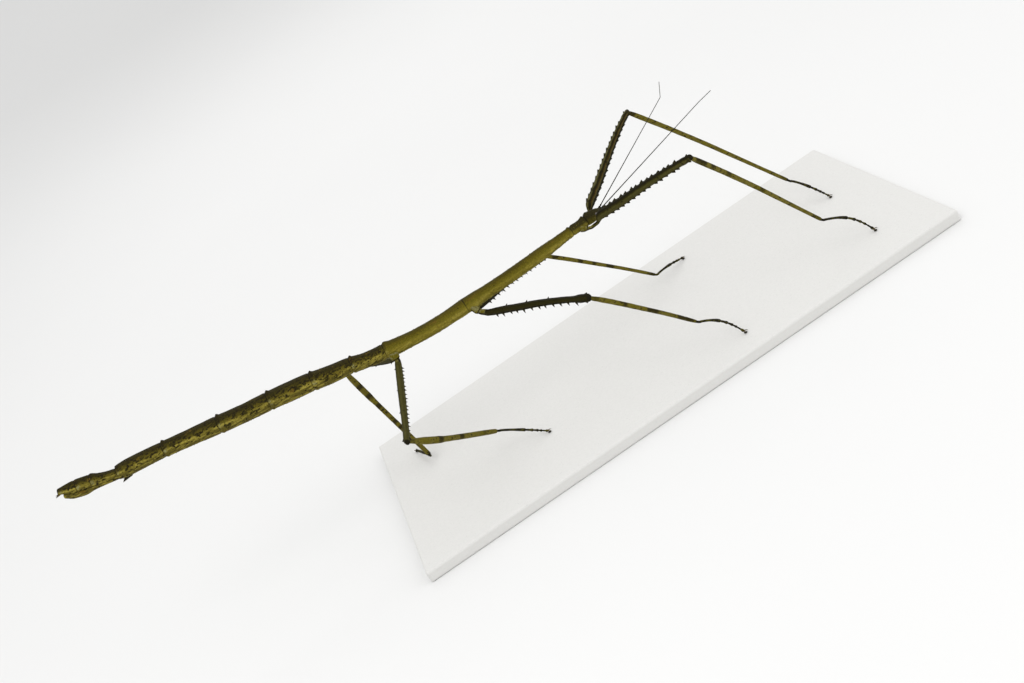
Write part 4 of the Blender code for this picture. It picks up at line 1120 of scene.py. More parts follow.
def foot_soles(ankle, foot, hold):
    """Pads under the foot's joints, and the broad pad that holds to the floor."""
    onward = unit((foot - ankle) * np.array((1, 1, 0)))
    flank = np.cross(onward, UP)
    centres, sizes = [], []
    for index, end in enumerate(TARSOMERE_ENDS[1:-1]):
        place = tarsus_place(ankle, foot, hold.tarsus_arch, np.array(end - 0.03))
        centres.append(place - UP * 0.5 * (1 - 0.06 * index))
        sizes.append((0.62 - 0.05 * index, 0.45, 0.32))
    centres.append(np.array((foot[0], foot[1], BASE_TOP + 0.42)) + onward * 0.5)
    sizes.append((PAD_RADIUS * 0.95, PAD_RADIUS * 0.9, 0.42))
    centres, sizes = np.array(centres), np.array(sizes)
    return blobs(centres, UP * sizes[:, 2:], onward * sizes[:, :1], flank * sizes[:, 1:2])


def rgba(colour):
    """Colour with full cover."""
    return (colour[0], colour[1], colour[2], 1.0)


def darker(colour, share):
    """Colour at a share of its brightness."""
    return [value * share for value in colour]


class Wiring:
    """Places nodes in a tree and links them."""

    def __init__(self, tree):
        self.tree = tree

    def feed(self, socket, value):
        if isinstance(value, bpy.types.NodeSocket):
            self.tree.links.new(value, socket)
        else:
            socket.default_value = rgba(value) if socket.type == "RGBA" else value

    def node(self, kind, inputs=None, out=0, **settings):
        made = self.tree.nodes.new("ShaderNode" + kind)
        for setting, value in settings.items():
            setattr(made, setting, value)
        for key, value in (inputs or {}).items():
            self.feed(made.inputs[key], value)
        return made.outputs[out]

    def trait(self, name):
        return self.node("Attribute", out="Fac", attribute_name=name)

    def math(self, operation, first, second=0.0):
        return self.node("Math", {0: first, 1: second}, operation=operation)

    def plus(self, first, second):
        return self.math("ADD", first, second)

    def minus(self, first, second):
        return self.math("SUBTRACT", first, second)

    def times(self, first, *others):
        for other in others:
            first = self.math("MULTIPLY", first, other)
        return first

    def mix(self, share, first, second):
        return self.node("Mix", {0: share, 6: first, 7: second}, out=2, data_type="RGBA")

    def fit(self, value, low, high, to_low=0.0, to_high=1.0):
        return self.node("MapRange", {0: value, 1: low, 2: high, 3: to_low, 4: to_high})

    def noise(self, place, scale, detail=3.0, roughness=0.5):
        return self.node("TexNoise", {"Vector": place, "Scale": scale, "Detail": detail,
                                      "Roughness": roughness})

    def stretched(self, stretch=(1, 1, 1), shift=(0, 0, 0)):
        place = self.node("TexCoord", out="Object")
        return self.node("Mapping", {"Vector": place, "Location": shift, "Scale": stretch})

    def wandering(self, trait, place, scale, detail, reach):
        """Trait moved up and down by noise, by half its reach each way."""
        wander = self.noise(place, scale, detail)
        return self.plus(self.trait(trait), self.times(self.minus(wander, 0.5), reach))

    def ramp(self, share, stops):
        made = self.tree.nodes.new("ShaderNodeValToRGB")
        line = made.color_ramp
        for _ in range(len(stops) - 2):
            line.elements.new(0.5)
        for element, (place, colour) in zip(line.elements, stops):
            element.position = place
            element.color = rgba(colour)
        self.feed(made.inputs[0], share)
        return made.outputs[0]

    def blotched(self, ground, blotch, cover, size):
        return self.node("Group", {"Ground": ground, "Blotch": blotch, "Cover": cover, "Size": size},
                         node_tree=shared_effect("blotch"))

    def shaded(self, ground, shade, mask):
        return self.node("Group", {"Ground": ground, "Shade": shade, "Mask": mask},
                         node_tree=shared_effect("shade"))


class Finish(Wiring):
    """A material, with its surface's sockets."""

    def __init__(self, name, roughness, specular=SKIN_SPECULAR):
        self.material = bpy.data.materials.new(name)
        self.material.use_nodes = True
        super().__init__(self.material.node_tree)
        self.surface = self.tree.nodes["Principled BSDF"].inputs
        self.feed(self.surface["Roughness"], roughness)
        self.feed(self.surface["Specular IOR Level"], specular)

    def bump(self, height, strength, depth):
        normal = self.node("Bump", {"Height": height, "Strength": strength, "Distance": depth})
        self.feed(self.surface["Normal"], normal)

    def grain(self, size, depth, lines=0.3, rough=(0.45, 0.7)):
        """Fine relief and uneven gloss; gives the grain's tone back."""
        height, tone = self.node("Group", {"Size": size, "Lines": lines}, slice(0, 2),
                                 node_tree=shared_effect("grain"))
        self.bump(height, 0.6, depth)
        self.feed(self.surface["Roughness"], self.fit(tone, 0.0, 1.0, *rough))
        return tone

    def paint(self, colour):
        """Set the surface's colour and give the finished material back."""
        self.feed(self.surface["Base Color"], colour)
        return self.material

    def toned(self, colour, tone, spread=0.45):
        """The same, with the colour made a little darker and lighter by the grain's tone."""
        dark = self.node("HueSaturation", {"Color": colour, "Value": 1 - spread})
        light = self.node("HueSaturation", {"Color": colour, "Value": 1 + spread})
        return self.paint(self.mix(tone, dark, light))


def effect(name, inputs, outputs):
    """New shader node group with named sockets, and its inner inputs and outputs."""
    tree = bpy.data.node_groups.new(name, "ShaderNodeTree")
    for socket, default in inputs.items():
        kind = "Color" if isinstance(default, tuple) else "Float"
        tree.interface.new_socket(socket, in_out="INPUT",
                                  socket_type="NodeSocket" + kind).default_value = default
    for socket, kind in outputs.items():
        tree.interface.new_socket(socket, in_out="OUTPUT", socket_type="NodeSocket" + kind)
    return (Wiring(tree), tree, tree.nodes.new("NodeGroupInput").outputs,
            tree.nodes.new("NodeGroupOutput").inputs)


def grain_effect():
    """Fine granular relief of the skin, with a tone that varies as it does."""
    wiring, tree, given, result = effect("cuticle_grain", {"Size": 1500.0, "Lines": 0.3},
                                         {"Height": "Float", "Tone": "Float"})
    place = wiring.stretched()
    coarse = wiring.noise(place, given["Size"], 4.0, 0.6)
    beads = wiring.node("TexVoronoi", {"Vector": place, "Scale": given["Size"]}, feature="F1")
    lines = wiring.noise(wiring.stretched((0.12, 1, 1)), given["Size"], 2.0)
    height = wiring.minus(coarse, wiring.times(beads, 0.35))
    wiring.feed(result["Height"], wiring.plus(height, wiring.times(lines, given["Lines"])))
    wiring.feed(result["Tone"], wiring.fit(coarse, 0.3, 0.7))
    return tree


def blotch_effect():
    """Ground colour broken by drawn-out blotches that cover a share of it."""
    wiring, tree, given, result = effect("skin_blotches", {"Ground": GROUND, "Blotch": SHADE, "Cover": 0.3,
                                                           "Size": 400.0}, {"Colour": "Color"})
    noise = wiring.noise(wiring.stretched((0.55, 1, 1), (0.013, 0.021, 0.008)), given["Size"], 3.0, 0.55)
    edge = wiring.minus(0.72, wiring.times(given["Cover"], 0.44))
    mask = wiring.fit(wiring.minus(noise, edge), -0.03, 0.05)
    wiring.feed(result["Colour"], wiring.mix(mask, given["Ground"], given["Blotch"]))
    return tree


def shade_effect():
    """Colour darkened where a mask is high, with an edge broken by noise."""
    wiring, tree, given, result = effect("broken_shade", {"Ground": GROUND, "Shade": SHADE, "Mask": 0.0},
                                         {"Colour": "Color"})
    noise = wiring.noise(wiring.stretched(shift=(0.004, 0.002, 0.01)), 1100.0, 3.0, 0.6)
    jitter = wiring.times(wiring.minus(noise, 0.5), 0.9)
    cover = wiring.fit(wiring.plus(given["Mask"], wiring.times(jitter, given["Mask"])), 0.12, 0.75)
    wiring.feed(result["Colour"], wiring.mix(cover, given["Ground"], given["Shade"]))
    return tree


EFFECTS = {"grain": grain_effect, "blotch": blotch_effect, "shade": shade_effect}
_made = {}


def shared_effect(name):
    """One of the shared effects, built when it is first used."""
    if name not in _made:
        _made[name] = EFFECTS[name]()
    return _made[name]


def body_finish(colours):
    """Olive skin, darkest along the back, where dark pigment carries painted shade; painted light brightens
    the lower flank and painted shade darkens the underside. The abdomen is mottled, with a pale line along
    its flank.
    """
    skin = Finish("body_cuticle", 0.55)
    tone = skin.grain(1700.0, 0.00014)
    height, abdomen, margin = skin.trait("rise"), skin.trait("abdomen"), skin.trait("margin")
    rise = skin.wandering("rise", skin.stretched((0.3, 1, 1)), 240.0, 3.0, 0.45)
    level = skin.fit(rise, -1.0, 1.0)
    # Ramps from belly to back follow the brightness seen at each height round the body, so besides the
    # pigment they hold painted shade over the back and the underside and painted light on the lower flank.
    thorax_skin_and_shade = skin.ramp(level, ((0.0, colours.belly), (0.2, colours.belly), (0.37, colours.flank),
                                    (0.54, colours.flank), (0.69, colours.middle),
                                    (0.86, colours.upper), (1.0, colours.back)))
    abdomen_skin_and_shade = skin.ramp(level, ((0.0, colours.tail_low), (0.42, colours.tail_low),
                                     (0.58, colours.tail_side), (0.75, colours.tail_upper),
                                     (0.9, colours.tail_back), (1.0, colours.tail_back)))
    colour = skin.mix(abdomen, thorax_skin_and_shade, abdomen_skin_and_shade)
    streaks = skin.noise(skin.stretched((0.16, 1, 1), (0.01, 0.02, 0.03)), 900.0, 2.0)
    streak = skin.times(skin.fit(streaks, 0.49, 0.60), skin.fit(height, 0.35, -0.1), 0.8)
    colour = skin.mix(streak, colour, colours.line)
    off_line = skin.math("ABSOLUTE", skin.minus(height, 0.16))
    broken = skin.noise(skin.stretched((0.3, 1, 1), (0.02, 0.0, 0.01)), 260.0, 2.0)
    line = skin.times(skin.fit(off_line, 0.2, 0.05), abdomen, skin.fit(broken, 0.4, 0.6))
    colour = skin.mix(line, colour, colours.line)
    mottle = skin.plus(skin.times(abdomen, skin.fit(height, -0.1, 0.5, 0.22, 0.38)), 0.04)
    colour = skin.blotched(colour, colours.tail_back, mottle, 480.0)
    colour = skin.blotched(colour, colours.rust, 0.14, 300.0)
    colour = skin.blotched(colour, colours.spot, mottle, 1100.0)
    dark_margin = skin.times(margin, skin.fit(height, 0.2, 0.8), skin.fit(abdomen, 0.0, 1.0, 0.2, 0.55))
    colour = skin.shaded(colour, colours.spot, dark_margin)
    patchy = skin.noise(skin.stretched(shift=(0.03, 0.01, 0.0)), 900.0, 2.0)
    patch = skin.times(margin, skin.fit(off_line, 0.34, 0.1), abdomen, skin.fit(patchy, 0.42, 0.56))
    colour = skin.mix(patch, colour, colours.knob)
    seam = skin.times(skin.trait("joint"), skin.fit(height, -0.6, 0.9, 0.35, 0.8))
    colour = skin.shaded(colour, colours.joint, seam)
    front = skin.times(skin.fit(skin.trait("reach"), 0.056, 0.066, 0.9, 0.0),
                       skin.fit(rise, -0.2, 0.35, 0.2, 1.0))
    return skin.toned(skin.mix(front, colour, colours.head), tone, 0.35)


def hip_finish(colours):
    """Hips mottled pale grey-green above, blackish below."""
    skin = Finish("hip_cuticle", 0.55)
    tone = skin.grain(2000.0, 0.00014)
    rise = skin.wandering("rise", skin.stretched(shift=(0.02, 0.01, 0.0)), 500.0, 2.0, 0.6)
    colour = skin.mix(skin.fit(rise, -0.65, -0.15), colours.joint, colours.middle)
    pale = skin.blotched(colour, colours.face, 0.5, 620.0)
    colour = skin.mix(skin.fit(rise, -0.4, 0.1), colour, pale)
    return skin.toned(skin.shaded(colour, colours.joint, skin.trait("joint")), tone)


def head_finish(colours):
    """Dark brown skin of the head, with pale mottles on the cheeks."""
    skin = Finish("dark_cuticle", 0.55)
    tone = skin.grain(2100.0, 0.00016)
    ground = skin.mix(skin.fit(skin.trait("rise"), -0.7, 0.5), colours.middle, colours.head)
    colour = skin.mix(skin.trait("face"), ground, skin.blotched(ground, colours.face, 0.75, 900.0))
    colour = skin.blotched(colour, colours.spot, 0.3, 1300.0)
    return skin.toned(skin.shaded(colour, colours.joint, skin.trait("joint")), tone)


def femur_finish(name, colours, stripes, blotch_cover):
    """Femur skin with lengthwise stripes, from its lower edge to its upper one."""
    skin = Finish(name, 0.5)
    tone = skin.grain(1900.0, 0.00014, 0.6)
    edge = skin.wandering("edge", skin.stretched(shift=(0.01, 0.03, 0.0)), 260.0, 3.0, 0.5)
    colour = skin.ramp(skin.fit(edge, -1.0, 1.0), stripes)
    colour = skin.blotched(colour, colours.femur_dark, blotch_cover, 420.0)
    colour = skin.mix(skin.times(skin.trait("ridge"), 0.15), colour, colours.femur_stripe)
    pale = skin.blotched(colours.middle, colours.face, 0.4, 620.0)
    pale = skin.mix(skin.fit(edge, -0.5, 0.0), colours.joint, pale)
    colour = skin.mix(skin.trait("root"), colour, pale)
    return skin.toned(skin.shaded(colour, colours.joint, skin.trait("joint")), tone, 0.35)


def femur_finishes(colours):
    """Finishes of the femora by leg: the left fore one is the most brightly striped."""
    dark, olive, brown, hind = colours.femur_dark, colours.femur_stripe, colours.femur_mid, colours.femur_hind
    grey = colours.femur_grey
    plans = {
        "fore_right": (((0.0, olive), (0.42, olive), (0.56, colours.femur_fore), (0.68, dark),
                        (1.0, dark)), 0.2),
        "fore_left": (((0.0, dark), (0.14, dark), (0.22, grey), (0.32, colours.femur_rust),
                       (0.52, dark), (0.70, brown), (0.80, grey), (1.0, grey)), 0.3),
        "mid": (((0.0, dark), (0.3, brown), (0.55, brown), (0.75, dark), (1.0, dark)), 0.2),
        "hind": (((0.0, olive), (0.25, hind), (0.5, olive), (0.8, hind), (1.0, brown)), 0.15),
    }
    made = {key: femur_finish(key + "_femur_cuticle", colours, *plan) for key, plan in plans.items()}
    return {name: made.get(name, made.get(name.split("_")[0])) for name in HOLDS}


def tibia_finish(colours):
    """Yellow olive tibia skin with dark bands whose edges are broken."""
    skin = Finish("tibia_cuticle", 0.5)
    tone = skin.grain(2000.0, 0.00012, 0.6)
    back = skin.trait("back")
    colour = skin.mix(skin.fit(back, -0.9, 0.9), colours.tibia_low, colours.tibia)
    colour = skin.blotched(colour, colours.middle, 0.4, 330.0)
    colour = skin.blotched(colour, colours.spot, 0.26, 800.0)
    band = skin.times(skin.trait("band"), skin.fit(back, -1.0, 0.4, 0.5, 0.9))
    colour = skin.shaded(colour, colours.band, band)
    return skin.toned(skin.shaded(colour, colours.joint, skin.trait("joint")), tone, 0.35)


def tarsus_finish(colours):
    """Dark feet with olive blotches, darkest at their joints."""
    skin = Finish("tarsus_cuticle", 0.5)
    tone = skin.grain(2400.0, 0.0001)
    colour = skin.blotched(colours.tarsus, colours.femur_stripe, 0.4, 520.0)
    return skin.toned(skin.shaded(colour, colours.joint, skin.trait("joint")), tone, 0.3)


def horn_finish(name, root, tip, roughness):
    """Horn of thorns and claws, darker towards the tip."""
    horn = Finish(name, roughness, 0.08)
    tone = horn.grain(2600.0, 0.00005, 0.2, (roughness - 0.1, roughness + 0.15))
    return horn.toned(horn.mix(horn.fit(horn.trait("tip"), 0.2, 0.9), root, tip), tone, 0.3)


def granule_finish(colours):
    """Granules of the body, pale at the top."""
    skin = Finish("body_granule", 0.5)
    tone = skin.grain(2600.0, 0.00006)
    colour = skin.mix(skin.fit(skin.trait("tip"), 0.3, 1.0), colours.middle, colours.flank)
    return skin.toned(colour, tone, 0.4)


def eye_finish(colours):
    """Glossy faceted eye with a dark band."""
    eye = Finish("eye_facets", 0.18, 0.6)
    facets = eye.node("TexVoronoi", {"Vector": eye.stretched(), "Scale": 7000.0},
                      feature="DISTANCE_TO_EDGE")
    eye.bump(eye.fit(facets, 0.0, 0.12), 0.5, 0.00004)
    bands = eye.noise(eye.stretched((0.4, 1, 2.2)), 700.0, 2.0)
    colour = eye.mix(eye.fit(bands, 0.42, 0.58), colours.eye, colours.rust)
    eye.feed(eye.surface["Roughness"], eye.fit(bands, 0.3, 0.7, 0.12, 0.3))
    eye.feed(eye.surface["Coat Weight"], 0.4)
    return eye.paint(eye.mix(eye.fit(facets, 0.0, 0.05), colours.joint, colour))


def feeler_finish(colours):
    """Blackish feeler with faint paler rings."""
    skin = Finish("feeler_cuticle", 0.5)
    tone = skin.grain(3000.0, 0.00005)
    colour = skin.mix(skin.times(skin.trait("ring"), 0.4), colours.feeler, colours.middle)
    colour = skin.mix(skin.fit(skin.trait("tip"), 0.0, 0.08, 0.5, 0.0), colour, colours.head)
    return skin.toned(colour, tone, 0.3)


def sole_finish(colours):
    """Soft dark brown pads."""
    pad = Finish("sole_pad", 0.65, 0.25)
    tone = pad.grain(3000.0, 0.00008, 0.0)
    return pad.paint(pad.mix(tone, colours.tarsus, colours.femur_mid))


def base_finish(stage):
    """Pale matt sheet, very slightly flecked."""
    sheet = Finish("base_sheet", 0.6, 0.3)
    tone = sheet.grain(900.0, 0.00006, 0.0, (0.5, 0.68))
    fleck = sheet.fit(sheet.noise(sheet.stretched(), 1600.0, 2.0), 0.66, 0.72)
    colour = sheet.mix(sheet.times(tone, 0.25), stage.base, darker(stage.base, 0.86))
    return sheet.paint(sheet.mix(sheet.times(fleck, 0.35), colour, darker(stage.base, 0.6)))


def floor_finish(stage):
    """Even pale floor with the faintest cloudiness."""
    floor = Finish("studio_floor", 0.85, 0.1)
    cloud = floor.noise(floor.stretched(), 2.5, 2.0)
    return floor.paint(floor.mix(cloud, stage.floor, darker(stage.floor, 0.97)))


def finishes(colours):
    """All finishes of the insect by name, built once."""
    if "finishes" not in _made:
        _made["finishes"] = {
            "body": body_finish(colours),
            "head": head_finish(colours),
            "femora": femur_finishes(colours),
            "hip": hip_finish(colours),
            "tibia": tibia_finish(colours),
            "tarsus": tarsus_finish(colours),
            "thorn": horn_finish("thorn_horn", colours.femur_mid, colours.spot, 0.45),
            "claw": horn_finish("claw_horn", colours.rust, colours.joint, 0.3),
            "sole": sole_finish(colours),
            "granule": granule_finish(colours),
            "eye": eye_finish(colours),
            "feeler": feeler_finish(colours),
        }
    return _made["finishes"]


def floor_bowl(stage):
    """Round floor whose far edge curves up into a backdrop on every side."""
    flat, rise = stage.floor_radius, stage.floor_rise
    turn = np.linspace(0, stage.floor_turn, 24)
    profile = [(0.02, 0.0), (flat * 0.5, 0.0)]
    profile += [(flat + rise * math.sin(a), rise * (1 - math.cos(a))) for a in turn]
    around = 96
    angle = round_angles(around)
    points = [(0.0, 0.0, 0.0)]
    points += [(radius * math.cos(a), radius * math.sin(a), height)
               for radius, height in profile for a in angle]
    faces = [(0, 1 + step, 1 + (step + 1) % around) for step in range(around)]
    for ring in range(len(profile) - 1):
        for step in range(around):
            here, there = 1 + ring * around + step, 1 + ring * around + (step + 1) % around
            faces.append((here, here + around, there + around, there))
    mesh = bpy.data.meshes.new("studio_floor")
    mesh.from_pydata(points, [], faces)
    mesh.shade_smooth()
    mesh.materials.append(floor_finish(stage))
    floor = bpy.data.objects.new("studio_floor", mesh)
    bpy.context.scene.collection.objects.link(floor)


def soft_light(name, place, size, power):
    """Square area light that faces the insect."""
    light = bpy.data.lights.new(name, "AREA")
    light.shape = "SQUARE"
    light.size = size
    light.energy = power
    lamp = bpy.data.objects.new(name, light)
    lamp.location = place
    lamp.rotation_euler = (Vector(LIGHT_TARGET) - Vector(place)).to_track_quat("-Z", "Y").to_euler()
    bpy.context.scene.collection.objects.link(lamp)


def view_axes(stage):
    """Right, up and back directions of the camera."""
    azimuth, elevation, roll = stage.azimuth, stage.elevation, stage.roll
    right = Vector((math.cos(azimuth), math.sin(azimuth), 0))
    up = Vector((-math.sin(azimuth) * math.sin(elevation), math.cos(azimuth) * math.sin(elevation),
                 math.cos(elevation)))
    back = right.cross(up)
    return right * math.cos(roll) - up * math.sin(roll), right * math.sin(roll) + up * math.cos(roll), back


def place_camera(stage):
    """Camera at the photograph's viewing angle."""
    right, up, back = view_axes(stage)
    data = bpy.data.cameras.new("view_camera")
    data.lens = stage.lens
    data.sensor_width = SENSOR_WIDTH
    data.sensor_fit = "HORIZONTAL"
    data.clip_start = 0.01
    camera = bpy.data.objects.new("view_camera", data)
    turn = Matrix((right, up, back)).transposed().to_4x4()
    camera.matrix_world = Matrix.Translation(Vector(stage.look_at) + back * stage.distance) @ turn
    bpy.context.scene.collection.objects.link(camera)
    bpy.context.scene.camera = camera


def light_room(stage):
    """Soft lights, a pale glow all round, and colours shown as they are."""
    soft_light("key_light", (-0.45, -0.75, 1.15), 0.9, stage.key_power)
    soft_light("fill_light", (0.95, -0.6, 0.6), 0.9, stage.fill_power)
    soft_light("back_light", (0.1, 1.1, 1.0), 1.0, stage.back_power)
    bpy.context.scene.view_settings.view_transform = "Standard"
    world = bpy.data.worlds.new("studio_glow")
    world.use_nodes = True
    glow = world.node_tree.nodes["Background"]
    glow.inputs["Color"].default_value = (1.0, 1.0, 1.0, 1.0)
    glow.inputs["Strength"].default_value = stage.glow
    bpy.context.scene.world = world


def colour_setting(name, description, default):
    return FloatVectorProperty(name=name, description=description, default=default, subtype="COLOR", size=3,
                               min=0.0, max=1.0)


class STICKINSECT_PG_colours(bpy.types.PropertyGroup):
    # Back to belly, and abdomen back to abdomen low: pigment together with painted shade over the back and
    # the underside and painted light on the lower flank.
    back: colour_setting("Back", "Ridge of the thorax", (0.048, 0.038, 0.004))
    upper: colour_setting("Upper flank", "Upper flank of the thorax", (0.082, 0.064, 0.005))
    middle: colour_setting("Middle", "Middle of the thorax flank", (0.113, 0.094, 0.008))
    flank: colour_setting("Lower flank", "Lower flank of the thorax", (0.175, 0.142, 0.017))
    belly: colour_setting("Belly", "Underside of the thorax", (0.131, 0.110, 0.014))
    tail_back: colour_setting("Abdomen back", "Ridge of the abdomen", (0.027, 0.022, 0.004))
    tail_upper: colour_setting("Abdomen upper", "Upper flank of the abdomen", (0.072, 0.057, 0.006))
    tail_side: colour_setting("Abdomen side", "Middle of the abdomen flank", (0.124, 0.099, 0.013))
    tail_low: colour_setting("Abdomen low", "Lower side of the abdomen", (0.096, 0.078, 0.013))
    line: colour_setting("Side line", "Pale line and flecks of the flank", (0.257, 0.212, 0.036))
    knob: colour_setting("Side patches", "Pale patches at the ends of the segments", (0.204, 0.194, 0.082))
    spot: colour_setting("Spots", "Dark spots and hind margins", (0.016, 0.012, 0.004))
    rust: colour_setting("Rust", "Rust-brown patches", (0.110, 0.070, 0.009))
    joint: colour_setting("Joints", "Lines at the joints", (0.012, 0.010, 0.004))
    head: colour_setting("Head", "Head and front thorax", (0.024, 0.020, 0.006))
    face: colour_setting("Mottles", "Pale mottles of face and hips", (0.162, 0.148, 0.058))
    femur_fore: colour_setting("Fore femur", "Middle of the right fore femur", (0.026, 0.022, 0.003))
    femur_rust: colour_setting("Femur rust", "Rust stripe of the left fore femur", (0.060, 0.036, 0.006))
    femur_grey: colour_setting("Femur grey", "Grey-olive edge of the left fore femur", (0.075, 0.068, 0.022))
    femur_stripe: colour_setting("Femur stripe", "Olive stripes of the femora", (0.058, 0.052, 0.012))
    femur_mid: colour_setting("Mid femur", "Middle femora and thorns", (0.020, 0.017, 0.003))
    femur_hind: colour_setting("Hind femur", "Hind femora", (0.042, 0.038, 0.009))
    femur_dark: colour_setting("Femur edges", "Darkest parts of the femora", (0.010, 0.008, 0.002))
    tibia: colour_setting("Tibia", "Upper side of the tibiae", (0.098, 0.080, 0.011))
    tibia_low: colour_setting("Tibia underside", "Underside of the tibiae", (0.150, 0.125, 0.024))
    band: colour_setting("Bands", "Dark bands of the tibiae", (0.026, 0.021, 0.005))
    tarsus: colour_setting("Feet", "Foot joints", (0.014, 0.012, 0.005))
    feeler: colour_setting("Feelers", "Feelers", (0.006, 0.005, 0.004))
    eye: colour_setting("Eyes", "Ground colour of the eyes", (0.020, 0.012, 0.006))


class STICKINSECT_PG_sizes(bpy.types.PropertyGroup):
    granule: FloatProperty(name="Granule", description="Width of the larger granules of the skin",
                           default=0.00036, min=0.0001, max=0.001, unit="LENGTH", precision=6)
    hair: FloatProperty(name="Hair", description="Length of the longer leg hairs", default=0.00042,
                        min=0.0001, max=0.002, unit="LENGTH", precision=6)
    thorn_bend: FloatProperty(name="Thorn bend", description="How far thorns hook forward, as a share of "
                                                             "their length", default=0.18, min=0.0, max=0.6,
                              subtype="FACTOR")


class STICKINSECT_PG_stage(bpy.types.PropertyGroup):
    floor: colour_setting("Floor", "Floor and backdrop", (0.76, 0.76, 0.755))
    base: colour_setting("Base", "Display base", (0.66, 0.655, 0.635))
    floor_radius: FloatProperty(name="Floor radius", description="Flat part of the floor", default=0.8,
                                min=0.4, max=6.0, unit="LENGTH")
    floor_turn: FloatProperty(name="Backdrop rise", description="How steep the backdrop gets at its rim",
                              default=math.radians(35.0), subtype="ANGLE")
    floor_rise: FloatProperty(name="Backdrop curve", description="Radius of the curve into the backdrop",
                              default=4.5, min=0.2, max=8.0, unit="LENGTH")
    azimuth: FloatProperty(name="Azimuth", description="Turn of the camera round the insect",
                           default=math.radians(-1.0), subtype="ANGLE")
    elevation: FloatProperty(name="Elevation", description="Rise of the camera above level",
                             default=math.radians(22.0), subtype="ANGLE")
    roll: FloatProperty(name="Roll", description="Turn of the camera about its line of sight",
                        default=math.radians(34.0), subtype="ANGLE")
    distance: FloatProperty(name="Distance", description="Camera distance", default=0.725, min=0.3, max=3.0,
                            unit="LENGTH")
    lens: FloatProperty(name="Lens", description="Focal length in millimetres", default=50.41, min=20.0,
                        max=200.0)
    look_at: FloatVectorProperty(name="Look at", description="Point in the middle of the view",
                                 default=(0.0103, 0.0, 0.0452), subtype="TRANSLATION", size=3)
    key_power: FloatProperty(name="Key light", description="Power of the main light", default=6.0, min=0.0,
                             max=100.0, unit="POWER")
    fill_power: FloatProperty(name="Fill light", description="Power of the side light", default=3.0, min=0.0,
                              max=100.0, unit="POWER")
    back_power: FloatProperty(name="Back light", description="Power of the light behind", default=3.5,
                              min=0.0, max=100.0, unit="POWER")
    glow: FloatProperty(name="Glow", description="Strength of the light from all round", default=0.92,
                        min=0.0, max=5.0)


class STICKINSECT_OT_body(bpy.types.Operator):
    """Skin, granules and thorns of thorax and abdomen"""
    bl_idname = "stick_insect.body"
    bl_label = "Body"

    def execute(self, context):
        made = finishes(context.scene.stick_insect_colours)
        sizes = context.scene.stick_insect_sizes
        body_skin(made["body"])
        body_granules(sizes, made["granule"])
        mesothorax_thorns(sizes, made["thorn"])
        return {"FINISHED"}


class STICKINSECT_OT_tail(bpy.types.Operator):
    """Operculum plate and cerci"""
    bl_idname = "stick_insect.tail"
    bl_label = "Tail"

    def execute(self, context):
        made = finishes(context.scene.stick_insect_colours)
        operculum(made["body"])
        cerci(made["claw"])
        return {"FINISHED"}


class STICKINSECT_OT_head(bpy.types.Operator):
    """Head capsule and mouthparts"""
    bl_idname = "stick_insect.head"
    bl_label = "Head"

    def execute(self, context):
        made = finishes(context.scene.stick_insect_colours)
        head_skin(made["head"])
        mouthparts(made["claw"])
        return {"FINISHED"}


class STICKINSECT_OT_eyes(bpy.types.Operator):
    """Faceted eyes"""
    bl_idname = "stick_insect.eyes"
    bl_label = "Eyes"

    def execute(self, context):
        eyes(finishes(context.scene.stick_insect_colours)["eye"])
        return {"FINISHED"}


class STICKINSECT_OT_feelers(bpy.types.Operator):
    """Long ringed feelers"""
    bl_idname = "stick_insect.feelers"
    bl_label = "Feelers"

    def execute(self, context):
        antennae(context.scene.stick_insect_sizes, finishes(context.scene.stick_insect_colours)["feeler"])
        return {"FINISHED"}


class STICKINSECT_OT_hips(bpy.types.Operator):
    """Hip pieces of the six legs"""
    bl_idname = "stick_insect.hips"
    bl_label = "Hips"

    def execute(self, context):
        coxae(finishes(context.scene.stick_insect_colours))
        return {"FINISHED"}


class STICKINSECT_OT_femora(bpy.types.Operator):
    """Keeled femora with thorns and hairs"""
    bl_idname = "stick_insect.femora"
    bl_label = "Femora"

    def execute(self, context):
        femora(context.scene.stick_insect_sizes, finishes(context.scene.stick_insect_colours))
        return {"FINISHED"}


class STICKINSECT_OT_tibiae(bpy.types.Operator):
    """Banded tibiae"""
    bl_idname = "stick_insect.tibiae"
    bl_label = "Tibiae"

    def execute(self, context):
        tibiae(context.scene.stick_insect_sizes, finishes(context.scene.stick_insect_colours))
        return {"FINISHED"}


class STICKINSECT_OT_feet(bpy.types.Operator):
    """Jointed feet with claws and pads"""
    bl_idname = "stick_insect.feet"
    bl_label = "Feet"

    def execute(self, context):
        tarsi(finishes(context.scene.stick_insect_colours))
        return {"FINISHED"}


class STICKINSECT_OT_base(bpy.types.Operator):
    """Finish of the display base"""
    bl_idname = "stick_insect.base"
    bl_label = "Base"

    def execute(self, context):
        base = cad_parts["stand_base"]
        base.material_slots[0].material = base_finish(context.scene.stick_insect_stage)
        return {"FINISHED"}


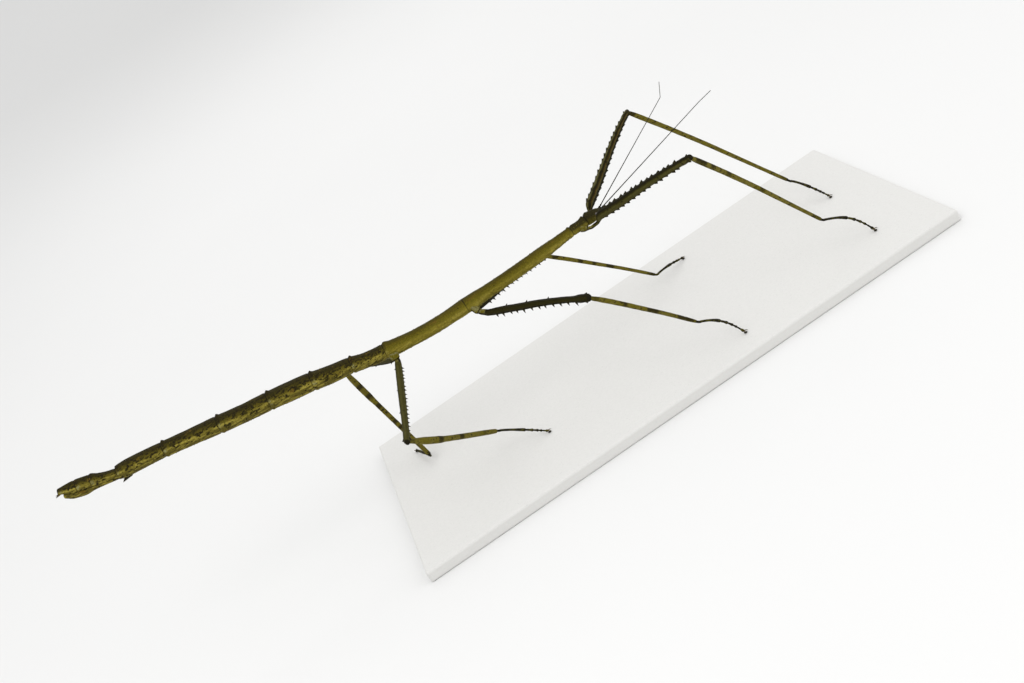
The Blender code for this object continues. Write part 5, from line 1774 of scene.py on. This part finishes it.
class STICKINSECT_OT_stage(bpy.types.Operator):
    """Floor, soft lights and camera"""
    bl_idname = "stick_insect.stage"
    bl_label = "Stage"

    def execute(self, context):
        stage = context.scene.stick_insect_stage
        floor_bowl(stage)
        light_room(stage)
        place_camera(stage)
        return {"FINISHED"}


OPERATORS = (STICKINSECT_OT_body, STICKINSECT_OT_tail, STICKINSECT_OT_head, STICKINSECT_OT_eyes,
             STICKINSECT_OT_feelers, STICKINSECT_OT_hips, STICKINSECT_OT_femora, STICKINSECT_OT_tibiae,
             STICKINSECT_OT_feet, STICKINSECT_OT_base, STICKINSECT_OT_stage)


class STICKINSECT_PT_tools(bpy.types.Panel):
    """Tools that build the stick insect, and their settings"""
    bl_idname = "STICKINSECT_PT_tools"
    bl_label = "Stick insect"
    bl_space_type = "VIEW_3D"
    bl_region_type = "UI"
    bl_category = "Stick insect"

    def draw(self, context):
        column = self.layout.column()
        for operator in OPERATORS:
            column.operator(operator.bl_idname)
        for settings in (context.scene.stick_insect_colours, context.scene.stick_insect_sizes,
                         context.scene.stick_insect_stage):
            for key in settings.__annotations__:
                column.prop(settings, key)


CLASSES = (STICKINSECT_PG_colours, STICKINSECT_PG_sizes, STICKINSECT_PG_stage, *OPERATORS,
           STICKINSECT_PT_tools)


def register():
    for entry in CLASSES:
        bpy.utils.register_class(entry)
    bpy.types.Scene.stick_insect_colours = PointerProperty(type=STICKINSECT_PG_colours)
    bpy.types.Scene.stick_insect_sizes = PointerProperty(type=STICKINSECT_PG_sizes)
    bpy.types.Scene.stick_insect_stage = PointerProperty(type=STICKINSECT_PG_stage)


def unregister():
    del bpy.types.Scene.stick_insect_stage
    del bpy.types.Scene.stick_insect_sizes
    del bpy.types.Scene.stick_insect_colours
    for entry in reversed(CLASSES):
        bpy.utils.unregister_class(entry)


def main():
    register()
    tools = bpy.ops.stick_insect
    tools.body()
    tools.tail()
    tools.head()
    tools.eyes()
    tools.feelers()
    tools.hips()
    tools.femora()
    tools.tibiae()
    tools.feet()
    tools.base()
    tools.stage()


if __name__ == "__main__":
    main()
